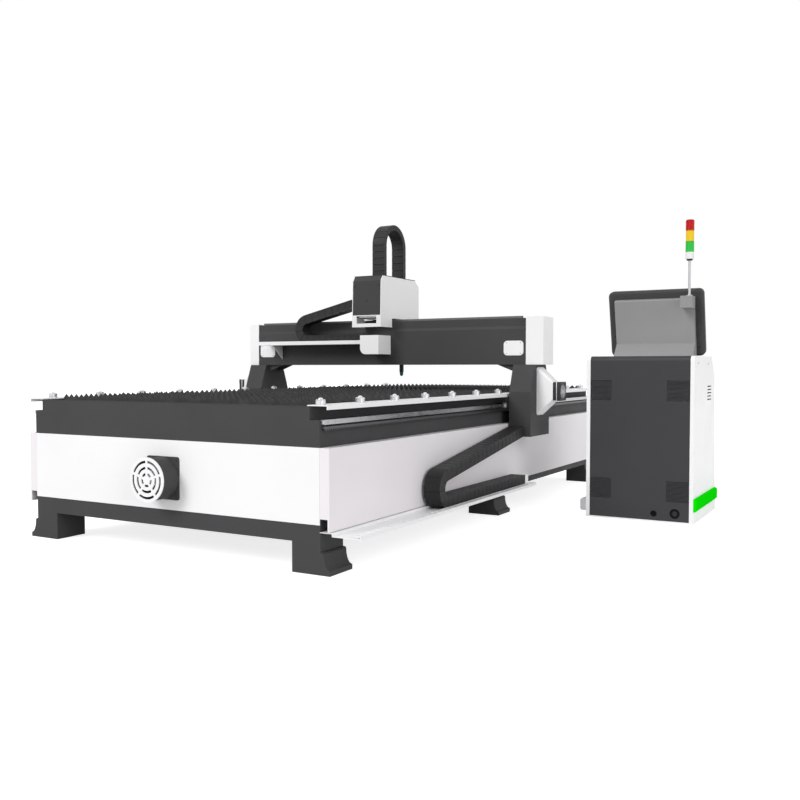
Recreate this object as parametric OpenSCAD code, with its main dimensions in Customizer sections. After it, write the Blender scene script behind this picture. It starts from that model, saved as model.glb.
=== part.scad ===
// CNC plasma cutting table: a welded bed with a saw-tooth slat top, a gantry that
// travels along it on rails and racks, a torch lifter and an operator console.
// X runs across the bed, Y along it away from the exhaust end, Z up from the floor.

/* [Bed] */
// Length of the bed
bed_l = 4280; // [4000:10:4600]
// Width over the outer faces of the side beams
bed_w = 2022; // [1940:2:2100]
// Width of a side beam
beam_w = 168; // [150:1:186]
// Height of a side beam
beam_h = 132; // [126:1:145]
// Height of the underside of the side beams
beam_z = 616; // [600:1:640]
// Wall of the bed's and the gantry's box sections
beam_wall = 8; // [5:0.5:12]
// Width of the cross beams at the ends of the bed
end_beam_w = 80; // [60:1:100]
// Thickness of the end fascia plates
fascia_t = 6; // [4:0.5:10]
// Height of the fascia plates above the side beams
fascia_up = 64; // [50:1:66]

/* [Legs and lower frame] */
// Length of a leg along the bed
leg_l = 200; // [160:5:240]
// How far the foot reaches out past the leg
foot_out = 55; // [40:1:55]
// Height at which the foot begins to flare
foot_h = 110; // [90:1:120]
// Thickness of the toe of the foot
toe_h = 25; // [15:1:35]
// Radius of the shoulder above the flare
shoulder_r = 12; // [6:1:16]
// Height of the underside of the lower frame
sill_z = 153; // [140:1:160]
// Height of the lower frame's beams
sill_h = 90; // [80:1:96]
// Width of the lower frame's long beams
sill_w = 60; // [40:1:80]
// Width of the ties that join the legs of a pair
tie_w = 80; // [60:1:100]

/* [Panels] */
// Thickness of the end panels
panel_t = 4; // [2:0.5:6]
// How far the side covers stand out from the legs
cover_d = 55; // [50:1:58]
// Height of the side covers' lower edge
cover_z = 213; // [212:1:220]
// Height of the opening left at the ends of the side covers
cover_open = 60; // [40:1:80]
// Thickness of the side covers' sheet
cover_t = 3; // [2:0.5:4]

/* [Slag tank] */
// Thickness of the tank's sheet
tank_t = 5; // [3:0.5:8]
// Gap between the tank and the beams around it
tank_gap = 1; // [0.5:0.5:4]
// Distance of the tank's rim behind the side beams' outer faces
rim_in = 58; // [50:1:70]
// Height of the tank's rim above the side beams
rim_h = 68; // [67:1:80]
// Thickness of the partition down the middle of the tank
partition_t = 6; // [4:0.5:10]
// Distance of the partition from the exhaust end
partition_y = 400; // [300:10:600]

/* [Slats] */
// Distance between slats
slat_pitch = 148; // [130:1:180]
// Thickness of a slat
slat_t = 4; // [3:0.5:6]
// Height of a slat
slat_h = 74; // [65:1:80]
// Distance between saw teeth
tooth_pitch = 42; // [38:1:60]
// Depth of a saw tooth
tooth_h = 20; // [12:1:26]
// Thickness of the notched bars that carry the slats
comb_t = 8; // [5:0.5:10]
// Height of the notched bars
comb_h = 47; // [40:1:52]
// Height of the notches' floor above the tank's rim flange
comb_seat = 17; // [12:1:22]
// Clearance of a slat in its notch
slat_gap = 0.5; // [0.2:0.1:1]

/* [Loading ledges] */
// Width of a ledge
ledge_w = 118; // [112:1:126]
// Thickness of a ledge
ledge_t = 5; // [3:0.5:8]
// How far a ledge reaches past the side beam
ledge_out = 47; // [42:1:54]
// Depth of the lip along a ledge's outer edge
ledge_lip = 22; // [14:1:30]

/* [Ball transfer units] */
// Diameter of the balls
ball_d = 30; // [26:1:32]
// Outer diameter of a ball cup
cup_d = 50; // [46:1:56]
// Height of a ball cup
cup_h = 27; // [24:1:30]
// Height of the balls' tops above the ledge
ball_top = 36; // [34:0.5:39]
// Distance between ball units
ball_pitch = 358; // [340:1:370]
// Number of ball units on each side
ball_n = 12; // [8:1:12]
// Place of the first unit on the right ledge
ball_right = 28; // [26:1:100]
// Place of the first unit on the left ledge
ball_left = 114; // [30:1:200]
// Clearance round a ball in its cup
ball_gap = 0.4; // [0.3:0.05:0.6]

/* [Rails and racks] */
// Width of the long rails
rail_w = 23; // [20:0.5:26]
// Height of the long rails
rail_h = 22; // [20:0.5:24]
// Distance of the long rails' centre below the top of the side beams
rail_down = 9.5; // [8:0.5:14]
// Distance of the rails' and racks' ends from the ends of the bed
rail_end = 12; // [7:1:40]
// Clearance of a bearing block on its rail
rail_gap = 0.4; // [0.3:0.05:0.6]
// Gap between a long rail and the rack below it
rack_gap = 9; // [9:0.5:12]
// Module of the long racks' teeth
y_module = 5; // [4:0.5:5]
// Height of the long racks
rack_h = 20; // [18:0.5:22]
// Width of the long racks
rack_w = 25; // [22:0.5:28]
// Number of teeth on a long axis pinion
y_teeth = 14; // [13:1:15]
// Module of the cross rack's teeth
x_module = 4; // [3:0.5:4]
// Number of teeth on the cross axis pinion
x_teeth = 15; // [14:1:18]
// Backlash between a rack and its pinion
backlash = 0.3; // [0.2:0.05:0.5]

/* [Gantry] */
// Place of the gantry along the bed at rest
gantry_y = 2375; // [1700:5:3000]
// Width of a gantry column
col_w = 157; // [150:1:165]
// Gap between a column and the side beam
col_gap = 64; // [62:1:70]
// Length of a column along the bed
col_l = 360; // [340:2:380]
// Length of a column at its top
col_top_l = 220; // [210:2:240]
// Height of a column's underside
col_z = 529; // [520:1:540]
// Height at which a column begins to taper
knee_z = 835; // [820:1:850]
// Height of the cross beam's underside
xbeam_z = 1022; // [1010:1:1040]
// Height of the cross beam
xbeam_h = 323; // [310:1:330]
// Depth of the cross beam
xbeam_d = 184; // [170:1:195]
// How far the cross beam rests on each column
xbeam_seat = 87; // [70:1:100]
// Step of the band along the top of the cross beam's back
band_in = 6; // [4:0.5:7]
// Height of the band along the top of the cross beam's back
band_h = 55; // [45:1:65]
// Length of the white cap on the left end
cap_left = 87; // [72:1:100]
// Length of the white cap on the right end
cap_right = 127; // [100:1:140]
// Thickness of the caps' sheet
cap_t = 4; // [2:0.5:6]
// Thickness of the cover plates on the cross beam
cover_plate_t = 3; // [2:0.5:4]
// Width of the cover plates on the cross beam
cover_plate_w = 146; // [130:1:150]
// Height of the cover plates
cover_plate_h = 102; // [90:1:106]
// Height of the cover plates' middle above the underside of the cross beam
cover_plate_up = 115; // [108:1:122]
// Distance of the cover plates' middles from the ends of the cross beam
cover_plate_in = 92; // [80:1:110]
// Height of the gussets under the cross beam
gusset_h = 52; // [40:1:60]
// Length of the gussets
gusset_l = 135; // [100:1:160]
// Thickness of the gussets
gusset_t = 10; // [6:1:14]

/* [Y drive] */
// Length of the motor cowls
cowl_l = 113; // [100:1:125]
// Height of a motor cowl at its root
cowl_h = 332; // [320:1:340]
// Width of a motor cowl at its root
cowl_w = 137; // [130:1:145]
// Height of the motor shafts
motor_z = 838; // [830:1:842]
// Height of the motors' rear housings
motor_h = 130; // [120:1:140]
// Width of the motors' rear housings
motor_w = 118; // [110:1:124]
// Length of the motors' rear housings
motor_l = 55; // [45:1:65]
// Side of the motor body inside the cowl
motor_body = 90; // [70:1:100]
// Radius of the pulley on a motor shaft
small_pulley_r = 18; // [14:0.5:22]
// Radius of the pulley on a pinion shaft
big_pulley_r = 36; // [30:0.5:42]
// Width of a drive belt
belt_w = 20; // [12:1:26]
// Thickness of a drive belt
belt_t = 3; // [2:0.5:4]
// Gap between a belt and its pulleys
belt_gap = 0.3; // [0.3:0.05:0.5]
// Diameter of the pinion shafts
shaft_d = 24; // [18:1:28]
// Running clearance of the shafts
shaft_gap = 0.05; // [0.02:0.01:0.1]

/* [Carriage] */
// Place of the carriage's centre along the cross beam at rest
car_x = -27; // [-300:1:300]
// Width of the carriage
car_w = 248; // [240:2:260]
// Thickness of the carriage's sheet
car_t = 5; // [3:0.5:6]
// Distance of the carriage's back face from the gantry's centre
car_back = 262; // [256:1:268]
// Distance of the carriage's front face from the gantry's centre
car_front = 323; // [318:1:330]
// Height of the carriage's top
car_top = 1677; // [1660:1:1690]
// Height of the lower edge of the carriage's back frame
car_low = 1301; // [1290:1:1310]
// Height of the lower edge of the back cover
car_mid = 1388; // [1385:1:1395]
// Distance of the back frame's opening below the back cover
car_slot_down = 6; // [4:1:40]
// Gap between the cross beam's top and the carriage's sides
car_lift = 23; // [20:1:28]
// Width of the cross rails
x_rail_w = 20; // [18:0.5:22]
// Height of the cross rails
x_rail_h = 17.5; // [16:0.5:19]
// Distance of the cross rails' centres from the edges of the cross beam
x_rail_in = 56; // [45:1:60]
// Thickness of the carriage plate
plate_t = 12; // [10:0.5:14]
// Height of the bearing blocks over a cross rail's foot
x_block_h = 36; // [34:0.5:38]
// Side of the cross axis motor
x_motor_w = 86; // [70:1:90]
// Height of the cross axis motor
x_motor_h = 116; // [90:1:130]

/* [Torch lifter] */
// Diameter of the lifting screw
screw_d = 14; // [12:1:16]
// Clearance of the nut round the lifting screw
screw_gap = 0.3; // [0.3:0.05:0.5]
// Thickness of the lifter plate
lift_t = 10; // [8:0.5:12]
// Width of the lifter plate
lift_w = 160; // [150:1:170]
// Height of the lifter plate
lift_h = 204; // [200:1:208]
// Distance of the torch in front of the gantry's centre
torch_y = 268; // [262:1:274]
// Diameter of the torch
torch_d = 34; // [30:1:38]
// Height of the torch's tip at rest
torch_z = 935; // [930:1:945]
// Length of the torch's nozzle
nozzle_l = 32; // [26:1:40]

/* [Drag chains] */
// Width of the drag chains
chain_w = 104; // [96:1:108]
// Thickness of the drag chains
chain_t = 70; // [60:1:76]
// Thickness of the lifter's drag chain
z_chain_t = 40; // [34:1:44]
// Length of a chain link
link_l = 60; // [52:1:70]
// Width of the groove between two links
groove_w = 8; // [5:1:12]
// Depth of the groove between two links
groove_d = 4; // [2:0.5:6]
// Radius of the bends of the long and the cross chain
chain_r = 80; // [76:1:90]
// Height of the long chain's moving end above the columns' lower edge
y_chain_up = 38; // [35:1:60]
// Place of the long chain's fixed end along the bed
y_chain_end = 2220; // [2000:5:2400]
// How far the long chain's bend lies behind the middle of its two ends
chain_reach = 1258.5; // [1100:0.5:1300]
// How far the cross chain's bend lies beside the middle of its two ends
x_chain_reach = 474.5; // [440:0.5:600]
// Height of the cross chain's moving end below the carriage's top
x_chain_down = 197; // [180:1:210]
// Height of the long tray's outer wall
tray_wall = 18; // [12:1:40]
// Width of the flange on the long tray's outer wall
tray_flange = 42; // [38:1:44]
// Radius of the lifter chain's bend
z_chain_r = 147; // [140:1:150]
// Height of the lifter chain's bend above the carriage
z_chain_up = 246; // [200:1:280]
// Distance of the cross tray's left end from the end of the cross beam
x_tray_in = 116; // [60:1:160]
// Depth of the cross tray
x_tray_d = 150; // [140:1:160]
// Height of the cross tray above the underside of the cross beam
x_tray_up = 155; // [150:1:165]
// Place of the middle of the cable box along the cross beam
cable_box_x = 3; // [-40:1:40]
// Width of the cable box
cable_box_w = 158; // [140:1:170]
// Height of the cable box
cable_box_h = 140; // [120:1:150]
// Radius of the cable box's rounded corner
cable_box_r = 45; // [30:1:55]
// Distance of the cable box's middle below the cross tray
cable_box_down = 7; // [0:1:15]
// Height of the bracket under the cross tray
tray_bracket_h = 110; // [80:1:120]

/* [Exhaust] */
// Height of the exhaust's centre
exhaust_z = 413; // [400:1:430]
// Outer diameter of the exhaust duct
duct_d = 226; // [216:1:230]
// Length of the exhaust duct
duct_l = 112; // [100:1:120]
// Diameter of the exhaust grille
grille_d = 238; // [232:1:244]
// Thickness of the exhaust grille
grille_t = 6; // [4:0.5:8]
// Side of the exhaust's square flange
flange_w = 230; // [230:1:250]
// Thickness of the exhaust's flange
flange_t = 6; // [4:0.5:8]
// Diameter of the spigot behind the flange
spigot_d = 200; // [190:1:204]
// Thickness of the duct's sheet
duct_t = 3; // [2:0.5:4]
// Width of the grille's ring slots
slot_w = 13; // [6:0.5:15]
// Number of spokes across the grille
spoke_n = 5; // [4:1:6]
// Number of fan blades
blade_n = 7; // [5:1:9]

/* [Console] */
// Gap between the bed and the console
console_gap = 574; // [560:1:620]
// Place of the console's back along the bed
console_y = 2315; // [2200:1:2400]
// Width of the console
console_w = 700; // [690:2:720]
// Height of the console
console_h = 1076; // [1070:1:1085]
// Depth of the console at its top
top_d = 555; // [545:1:565]
// Depth of the console at the front of its desk
desk_d = 665; // [660:1:675]
// Height of the front of the desk
desk_z = 950; // [940:1:960]
// Depth of the console at its foot
foot_d = 755; // [745:1:765]
// Height of the plinth
plinth_h = 80; // [70:1:90]
// Thickness of the console's sheet
sheet_t = 4; // [3:0.5:5]
// Height of the side bumpers
bumper_h = 80; // [70:1:90]
// How far the side bumpers stand out
bumper_out = 22; // [15:1:45]
// How far the left bumper stands out
bumper_left = 40; // [25:1:60]
// Width of the white edges beside the back cover
back_in = 25; // [20:1:40]
// Depth of the back cover's fold over the top
back_fold = 38; // [34:1:60]
// Height of the back cover's lower edge
back_z = 10; // [5:1:20]
// Gap round the back cover
back_gap = 0.5; // [0.3:0.1:1]
// Width of the vents in the back cover
vent_w = 143; // [120:1:150]
// Height of a vent slot
vent_slot = 3; // [2:0.5:4]
// Spacing of the vent slots
vent_pitch = 8; // [7:0.5:9]
// Distance of the upper vents' lowest slot from the console's top
vent_down = 290; // [250:1:320]
// Distance of the lower vents' lowest slot from the plinth
vent_up = 57; // [40:1:80]
// Place of the cable hole across the console
cable_hole_x = 451; // [430:1:470]
// Height of the cable hole
cable_hole_z = 54; // [45:1:60]
// Diameter of the cable hole
cable_hole_d = 32; // [24:1:36]
// Place of the round inlet across the console
inlet_x = 585; // [565:1:600]
// Height of the round inlet
inlet_z = 61; // [55:1:66]
// Diameter of the round inlet
inlet_d = 64; // [50:1:70]
// Height of the plate that carries the controls
rack_up = 680; // [640:1:700]
// Depth of the shelf that carries the controls
rack_d = 300; // [270:1:330]
// Number of slots in the console's right side
side_slot_n = 5; // [3:1:6]
// Height of the uppermost side slot
side_slot_z = 870; // [850:1:880]
// Height of a side slot
side_slot_h = 8; // [5:1:10]
// Spacing of the side slots
side_slot_pitch = 22; // [16:1:26]
// Thickness of the door
door_t = 16; // [12:1:20]
// Gap round and behind the door
door_gap = 0.6; // [0.4:0.1:1]
// Width of the screen hood at its rim
hood_w = 645; // [630:1:655]
// Height of the screen hood's rim along its slope
hood_h = 460; // [450:1:470]
// Thickness of the screen hood's rim
hood_t = 50; // [44:1:56]
// Depth of the grey box behind the rim
hood_box_d = 46; // [36:1:50]
// Gap between the grey box and the rim
hood_gap = 0.1; // [0.05:0.05:0.5]
// Distance of the grey box's sides from the rim's sides
hood_box_in = 55; // [45:1:65]
// How far the screen leans back
hood_lean = 13; // [12:0.5:15]
// Height of the lamp's bracket above the console
lamp_box_up = 402; // [395:1:410]
// Length of the lamp's stem
stem_l = 242; // [220:1:280]
// Distance of the lamp from the console's right side
lamp_in = 98; // [90:1:105]
// Distance of the lamp from the console's back
lamp_back = 290; // [285:1:300]
// Width of the lamp's bracket
lamp_box_w = 76; // [60:1:80]
// Height of the lamp's bracket
lamp_box_h = 80; // [60:1:90]
// Diameter of the signal lamp
lamp_d = 55; // [50:1:62]
// Height of each colour of the signal lamp
lamp_h = 70; // [60:1:80]

/* [Hidden] */
eps = 0.5;
paint_dark = [0.30, 0.30, 0.31];
paint_white = [0.95, 0.95, 0.95];
steel = [0.72, 0.73, 0.75];
chain_black = [0.16, 0.16, 0.17];

// Bed
side_x = bed_w / 2;
beam_in = side_x - beam_w;
beam_top = beam_z + beam_h;
rim_x = side_x - rim_in;
rim_top = beam_top + rim_h;
floor_z = sill_z + sill_h;
tank_x = beam_in - tank_gap;
tank_y = fascia_t + end_beam_w + tank_gap;
flange_top = beam_top + tank_t;
slat_z = flange_top + comb_seat;
slat_x = side_x + ledge_out - ledge_w - 4;
slat_n = floor((bed_l - 2 * (fascia_t + tank_t) - slat_pitch) / slat_pitch) + 1;
slat_y0 = (bed_l - (slat_n - 1) * slat_pitch) / 2;
leg_ys = [panel_t, (bed_l - leg_l) / 2, bed_l - panel_t - leg_l];
cover_x = side_x + cover_d;
ledge_x1 = side_x + ledge_out;
ledge_x0 = ledge_x1 - ledge_w;
ledge_top = rim_top + ledge_t;
ball_x = (ledge_x0 + ledge_x1) / 2;
ball_z = ledge_top + ball_top - ball_d / 2;

// Rails, racks and drives
rail_z = beam_top - rail_down;
rack_top = rail_z - rail_w / 2 - rack_gap;
addendum = 0.8;
y_pitch_z = rack_top - rack_h + addendum * y_module;
y_pinion_r = y_module * y_teeth / 2;
y_pinion_z = y_pitch_z - y_pinion_r;
block_h = 36;
block_l = 84;
block_y = 110;

// Gantry
col_x0 = side_x + col_gap;
col_x1 = col_x0 + col_w;
xbeam_x = col_x0 + xbeam_seat;
xbeam_y0 = gantry_y - xbeam_d / 2;
xbeam_y1 = gantry_y + xbeam_d / 2;
xbeam_top = xbeam_z + xbeam_h;
belt_x = (col_x0 + col_x1) / 2;

// Carriage
car_x0 = car_x - car_w / 2;
car_x1 = car_x + car_w / 2;
car_y0 = gantry_y - car_back;
car_y1 = gantry_y + car_front;
car_side_z = xbeam_top + car_lift;
plate_y = xbeam_y1 + x_block_h;
base_z = xbeam_top + 27;
x_rail_zs = [xbeam_z + x_rail_in, xbeam_top - x_rail_in];
x_rack_h = 15;
x_rack_y = xbeam_y0 + 14;
x_rack_w = 24;
x_pitch_y = x_rack_y + x_rack_w - addendum * x_module;
x_pinion_r = x_module * x_teeth / 2;
x_pinion_y = x_pitch_y + x_pinion_r;

// Lifter
z_rail_w = 15;
z_rail_h = 12.5;
z_rail_x = 55;
lift_y = plate_y + plate_t + 28;
screw_y = plate_y + plate_t + 14;
plate_z0 = xbeam_z + 18;
plate_z1 = base_z + 68;
lift_z = plate_z0 + 80;
torch_cy = gantry_y + torch_y;

// Drag chains
tray_x0 = cover_x + 14;
tray_x1 = tray_x0 + 163;
tray_z = cover_z - 20;
tray_brackets = [760, 960, 1810, 2110];
y_chain_x = tray_x0 + 3.5;
y_bend_y = (y_chain_end + gantry_y) / 2 - chain_reach;
y_chain_top = col_z + y_chain_up;
x_tray_x0 = x_tray_in - xbeam_x;
x_tray_y = xbeam_y0 - x_tray_d;
x_tray_z = xbeam_z + x_tray_up;
x_chain_y = x_tray_y + 20;
box_x0 = cable_box_x - cable_box_w / 2;
box_x1 = cable_box_x + cable_box_w / 2;
x_bend_x = (box_x0 + car_x0) / 2 - x_chain_reach;
x_chain_top = car_top - x_chain_down;
z_chain_y = gantry_y - 70;
z_bend_z = car_top + z_chain_up;
z_chain_end = car_top - 77;
x_chain_w = chain_w - 4;

// Console
con_x0 = side_x + console_gap;
con_x1 = con_x0 + console_w;
con_cx = (con_x0 + con_x1) / 2;
desk_a = atan2(console_h - desk_z, desk_d - top_d);
front_a = atan2(foot_d - desk_d, desk_z - plinth_h);
front_l = norm([foot_d - desk_d, desk_z - plinth_h]);
hood_box_y = 12 - hood_t - hood_box_d;
lamp_z = console_h + lamp_box_up + stem_l;
lamp_x = con_x1 - lamp_in;
lamp_y = console_y + lamp_back;

// The whole stands centred over its origin
base_x = -(con_x1 + bumper_out - (col_x1 + cowl_l + motor_l)) / 2;
base_y = -(bed_l - (flange_t + duct_l + grille_t)) / 2;
module at_base() translate([base_x, base_y, 0]) children();

// ---------- helpers ----------
module prism_x(x0, l) translate([x0, 0, 0]) rotate([90, 0, 90]) linear_extrude(l) children();
module prism_y(y0, l) translate([0, y0 + l, 0]) rotate([90, 0, 0]) linear_extrude(l) children();
module both_sides() {
    children();
    mirror([1, 0, 0]) children();
}
module bar2(x0, y0, x1, y1) translate([x0, y0]) square([x1 - x0, y1 - y0]);
module block(x0, x1, y0, y1, z0, z1) translate([x0, y0, z0]) cube([x1 - x0, y1 - y0, z1 - z0]);
module rod_x(x0, x1, y, z, r) translate([x0, y, z]) rotate([0, 90, 0]) cylinder(h = x1 - x0, r = r, $fn = 48);
module rod_y(x, y0, y1, z, r) translate([x, y0, z]) rotate([-90, 0, 0])
    cylinder(h = y1 - y0, r = r, $fn = 48);
module rod_z(x, y, z0, z1, r) translate([x, y, z0]) cylinder(h = z1 - z0, r = r, $fn = 48);

// Rounded rectangle about its centre
module plate2(w, h, r) {
    difference() {
        square([w, h], center = true);
        for (sx = [-1, 1], sy = [-1, 1])
            translate([sx * w / 2, sy * h / 2])
                difference() {
                    square(2 * r, center = true);
                    translate([-sx * r, -sy * r]) circle(r = r, $fn = 32);
                }
    }
}

// Section of a guide rail: foot on the v axis, head out along u, grown by c
function rail_points(w, h, c) = [
    [0, -w / 2 - c], [h * 0.36, -w / 2 - c], [h * 0.5, -w * 0.36 - c], [h * 0.66, -w * 0.36 - c],
    [h * 0.8, -w / 2 - c], [h + c, -w / 2 - c], [h + c, w / 2 + c], [h * 0.8, w / 2 + c],
    [h * 0.66, w * 0.36 + c], [h * 0.5, w * 0.36 + c], [h * 0.36, w / 2 + c], [0, w / 2 + c]];

// Toothed edge of a rack: one tooth every pitch, tips on v = 0, with a gap centred on u = 0
function rack_points(m, n0, n1, depth) = let (
        p = PI * m,
        tip = p / 4 - addendum * m * tan(20) - backlash / 2,
        root = p / 4 + m * tan(20) - backlash / 2,
        tooth_d = (addendum + 1) * m
    ) concat(
        [[n0 * p, depth], [n0 * p, tooth_d]],
        [for (i = [n0 : n1 - 1], q = [[-root, tooth_d], [-tip, 0], [tip, 0], [root, tooth_d]])
            [(i + 0.5) * p + q[0], q[1]]],
        [[n1 * p, tooth_d], [n1 * p, depth]]);

// Outline of a spur pinion with involute flanks and a tooth on the u axis
function involute(r, rb) = r <= rb ? 0 : let (a = acos(rb / r)) tan(a) * 180 / PI - a;
function gear_points(m, n) = let (
        r = m * n / 2,
        rb = r * cos(20),
        slack = backlash / 2 / r * 180 / PI,
        flank = [r - m, rb, (rb + r) / 2, r, r + addendum * m / 2, r + addendum * m],
        half = [for (q = flank) 90 / n + involute(r, rb) - involute(q, rb) - slack],
        last = len(flank) - 1,
        edge = concat([for (j = [0 : last]) [flank[j], -half[j]]],
            [for (j = [last : -1 : 0]) [flank[j], half[j]]])
    ) [for (i = [0 : n - 1], q = edge) q[0] * [cos(i * 360 / n + q[1]), sin(i * 360 / n + q[1])]];

// Side view of a drag chain: a straight run, a bend and a rising run, with a groove
// between links. It starts at the origin heading along -u and comes back above.
function chain_at(s, run, r, rise) = let (arc = PI * r * (180 - rise) / 180)
    s < run ? [-s, 0, 180]
    : s < run + arc ? let (a = (s - run) / r * 180 / PI) [-run - r * sin(a), r - r * cos(a), 180 - a]
    : let (q = s - run - arc) [-run - r * sin(rise) + q * cos(rise), r + r * cos(rise) + q * sin(rise), rise];
function chain_side(len, run, r, rise, h, side) = [
    for (i = [0 : round(len / link_l) - 1], k = [0 : 4])
        let (
            n = round(len / link_l),
            l = len / n,
            s = k == 0 ? i * l + groove_w / 2 : k < 4 ? i * l + groove_w / 2 + (l - groove_w) * k / 3
                : (i + 1) * l - eps,
            q = k == 4 ? h - groove_d : h,
            p = chain_at(s, run, r, rise)
        ) if (k < 4 || i < n - 1) [p[0] - side * q * sin(p[2]), p[1] + side * q * cos(p[2])]];
module chain2(len, run, r, rise, t) {
    top = chain_side(len, run, r, rise, t / 2, 1);
    low = chain_side(len, run, r, rise, t / 2, -1);
    polygon(concat(top, [for (i = [len(low) - 1 : -1 : 0]) low[i]]));
}

// ---------- bed ----------
module bed_frame() at_base() color(paint_dark) {
    w = beam_wall;
    both_sides() difference() {
        block(beam_in, side_x, fascia_t, bed_l - fascia_t, beam_z, beam_top);
        block(beam_in + w, side_x - w, 0, bed_l, beam_z + w, beam_top - w);
    }
    for (y = [fascia_t, bed_l - fascia_t - end_beam_w]) difference() {
        block(-beam_in, beam_in, y, y + end_beam_w, beam_z, beam_top);
        block(-beam_in - 1, beam_in + 1, y + w, y + end_beam_w - w, beam_z + w, beam_top - w);
    }
    for (y = [0, bed_l - fascia_t]) prism_y(y, fascia_t) {
        bar2(-side_x, beam_z, side_x, beam_top);
        bar2(-rim_x, beam_top, rim_x, beam_top + fascia_up);
    }
}

module tank() at_base() color(paint_dark) {
    t = tank_t;
    y1 = bed_l - tank_y;
    difference() {
        union() {
            block(-tank_x, tank_x, tank_y, y1, floor_z, flange_top);
            block(-rim_x, rim_x, fascia_t, bed_l - fascia_t, beam_top, rim_top);
        }
        block(-tank_x + t, tank_x - t, tank_y + t, y1 - t, floor_z + t, rim_top + 1);
        block(-rim_x + t, rim_x - t, fascia_t + t, bed_l - fascia_t - t, flange_top, rim_top + 1);
        rod_y(0, tank_y - 1, tank_y + t + 1, exhaust_z, spigot_d / 2 + eps);
    }
    block(-partition_t / 2, partition_t / 2, partition_y, y1 - t, floor_z + t, slat_z);
}

// Notched bar seen from the side, one notch for each slat
module comb2() {
    y0 = fascia_t + tank_t + 2;
    notch = slat_t / 2 + slat_gap;
    polygon(concat(
        [[bed_l - y0, flange_top], [y0, flange_top], [y0, flange_top + comb_h]],
        [for (i = [0 : slat_n - 1],
            q = [[-notch, comb_h], [-notch, comb_seat], [notch, comb_seat], [notch, comb_h]])
            [slat_y0 + i * slat_pitch + q[0], flange_top + q[1]]],
        [[bed_l - y0, flange_top + comb_h]]));
}
module slat_combs() at_base() color(paint_dark)
    both_sides() prism_x(slat_x - comb_t - 6, comb_t) comb2();

module slats() at_base() color([0.34, 0.33, 0.32]) {
    n = floor(2 * slat_x / tooth_pitch);
    p = 2 * slat_x / n;
    for (i = [0 : slat_n - 1]) prism_y(slat_y0 + i * slat_pitch - slat_t / 2, slat_t)
        polygon(concat(
            [[slat_x, slat_z], [-slat_x, slat_z], [-slat_x, slat_z + slat_h - tooth_h]],
            [for (k = [0 : n - 1], q = [[0.5, 0], [1, tooth_h]])
                [-slat_x + (k + q[0]) * p, slat_z + slat_h - q[1]]]));
}

module legs() at_base() color(paint_dark) {
    x2 = side_x + foot_out;
    x1 = side_x + foot_out * 0.35;
    z1 = foot_h - shoulder_r;
    both_sides() for (y = leg_ys) prism_y(y, leg_l)
        polygon(concat(
            [[beam_in, 0], [x2, 0], [x2, toe_h]],
            [for (a = [75 : -15 : 0]) [x2 - (x2 - x1) * cos(a), z1 - (z1 - toe_h) * sin(a)]],
            [for (a = [15 : 15 : 90]) [x1 - shoulder_r + shoulder_r * cos(a), z1 + shoulder_r * sin(a)]],
            [[side_x, foot_h], [side_x, beam_z], [beam_in, beam_z]]));
}

module lower_frame() at_base() color(paint_dark) {
    both_sides() for (i = [0 : 1])
        block(side_x - sill_w, side_x, leg_ys[i] + leg_l, leg_ys[i + 1], sill_z, floor_z);
    for (i = [0 : 2]) {
        y = leg_ys[i] + (i == 0 ? 0 : i == 1 ? (leg_l - tie_w) / 2 : leg_l - tie_w);
        block(-beam_in, beam_in, y, y + tie_w, sill_z, floor_z);
    }
}

module end_panels() at_base() color(paint_white) {
    for (y = [0, bed_l - panel_t]) difference() {
        block(-side_x + 1, side_x - 1, y, y + panel_t, floor_z, beam_z);
        if (y == 0) rod_y(0, -1, panel_t + 1, exhaust_z, spigot_d / 2 + eps);
    }
}

module side_covers() at_base() color(paint_white) both_sides() {
    t = cover_t;
    difference() {
        block(side_x, cover_x, 0, bed_l, cover_z, beam_z);
        block(side_x - 1, cover_x - t, t, bed_l - t, cover_z + t, beam_z - t);
        block(side_x - 1, cover_x - 10, -1, bed_l + 1, cover_z - 1, cover_z + cover_open);
    }
}

module ledges() at_base() color(paint_white) both_sides() prism_y(0, bed_l) {
    bar2(ledge_x0, rim_top, ledge_x1, ledge_top);
    bar2(ledge_x1 - ledge_t, ledge_top - ledge_lip, ledge_x1, ledge_top);
}

function ball_place(side, i) = [side * ball_x, (side > 0 ? ball_right : ball_left) + i * ball_pitch];
module ball_cups() at_base() color(steel)
    for (side = [-1, 1], i = [0 : ball_n - 1]) translate(ball_place(side, i)) difference() {
        union() {
            translate([0, 0, ledge_top]) cylinder(h = cup_h - 4, d = cup_d, $fn = 32);
            translate([0, 0, ledge_top + cup_h - 4]) cylinder(h = 4, d1 = cup_d, d2 = cup_d - 8, $fn = 32);
        }
        translate([0, 0, ball_z]) sphere(r = ball_d / 2 + ball_gap, $fn = 32);
    }
module transfer_balls() at_base() color([0.85, 0.86, 0.88])
    for (side = [-1, 1], i = [0 : ball_n - 1]) translate(ball_place(side, i))
        translate([0, 0, ball_z]) sphere(d = ball_d, $fn = 32);

module y_rails() at_base() color(steel) both_sides()
    prism_y(rail_end, bed_l - 2 * rail_end)
        translate([side_x, rail_z]) polygon(rail_points(rail_w, rail_h, 0));

module y_racks() at_base() color(steel) {
    p = PI * y_module;
    n0 = ceil((rail_end - gantry_y) / p);
    n1 = floor((bed_l - rail_end - gantry_y) / p);
    both_sides() prism_x(side_x, rack_w) translate([gantry_y, rack_top - rack_h])
        polygon(rack_points(y_module, n0, n1, rack_h));
}

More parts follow.
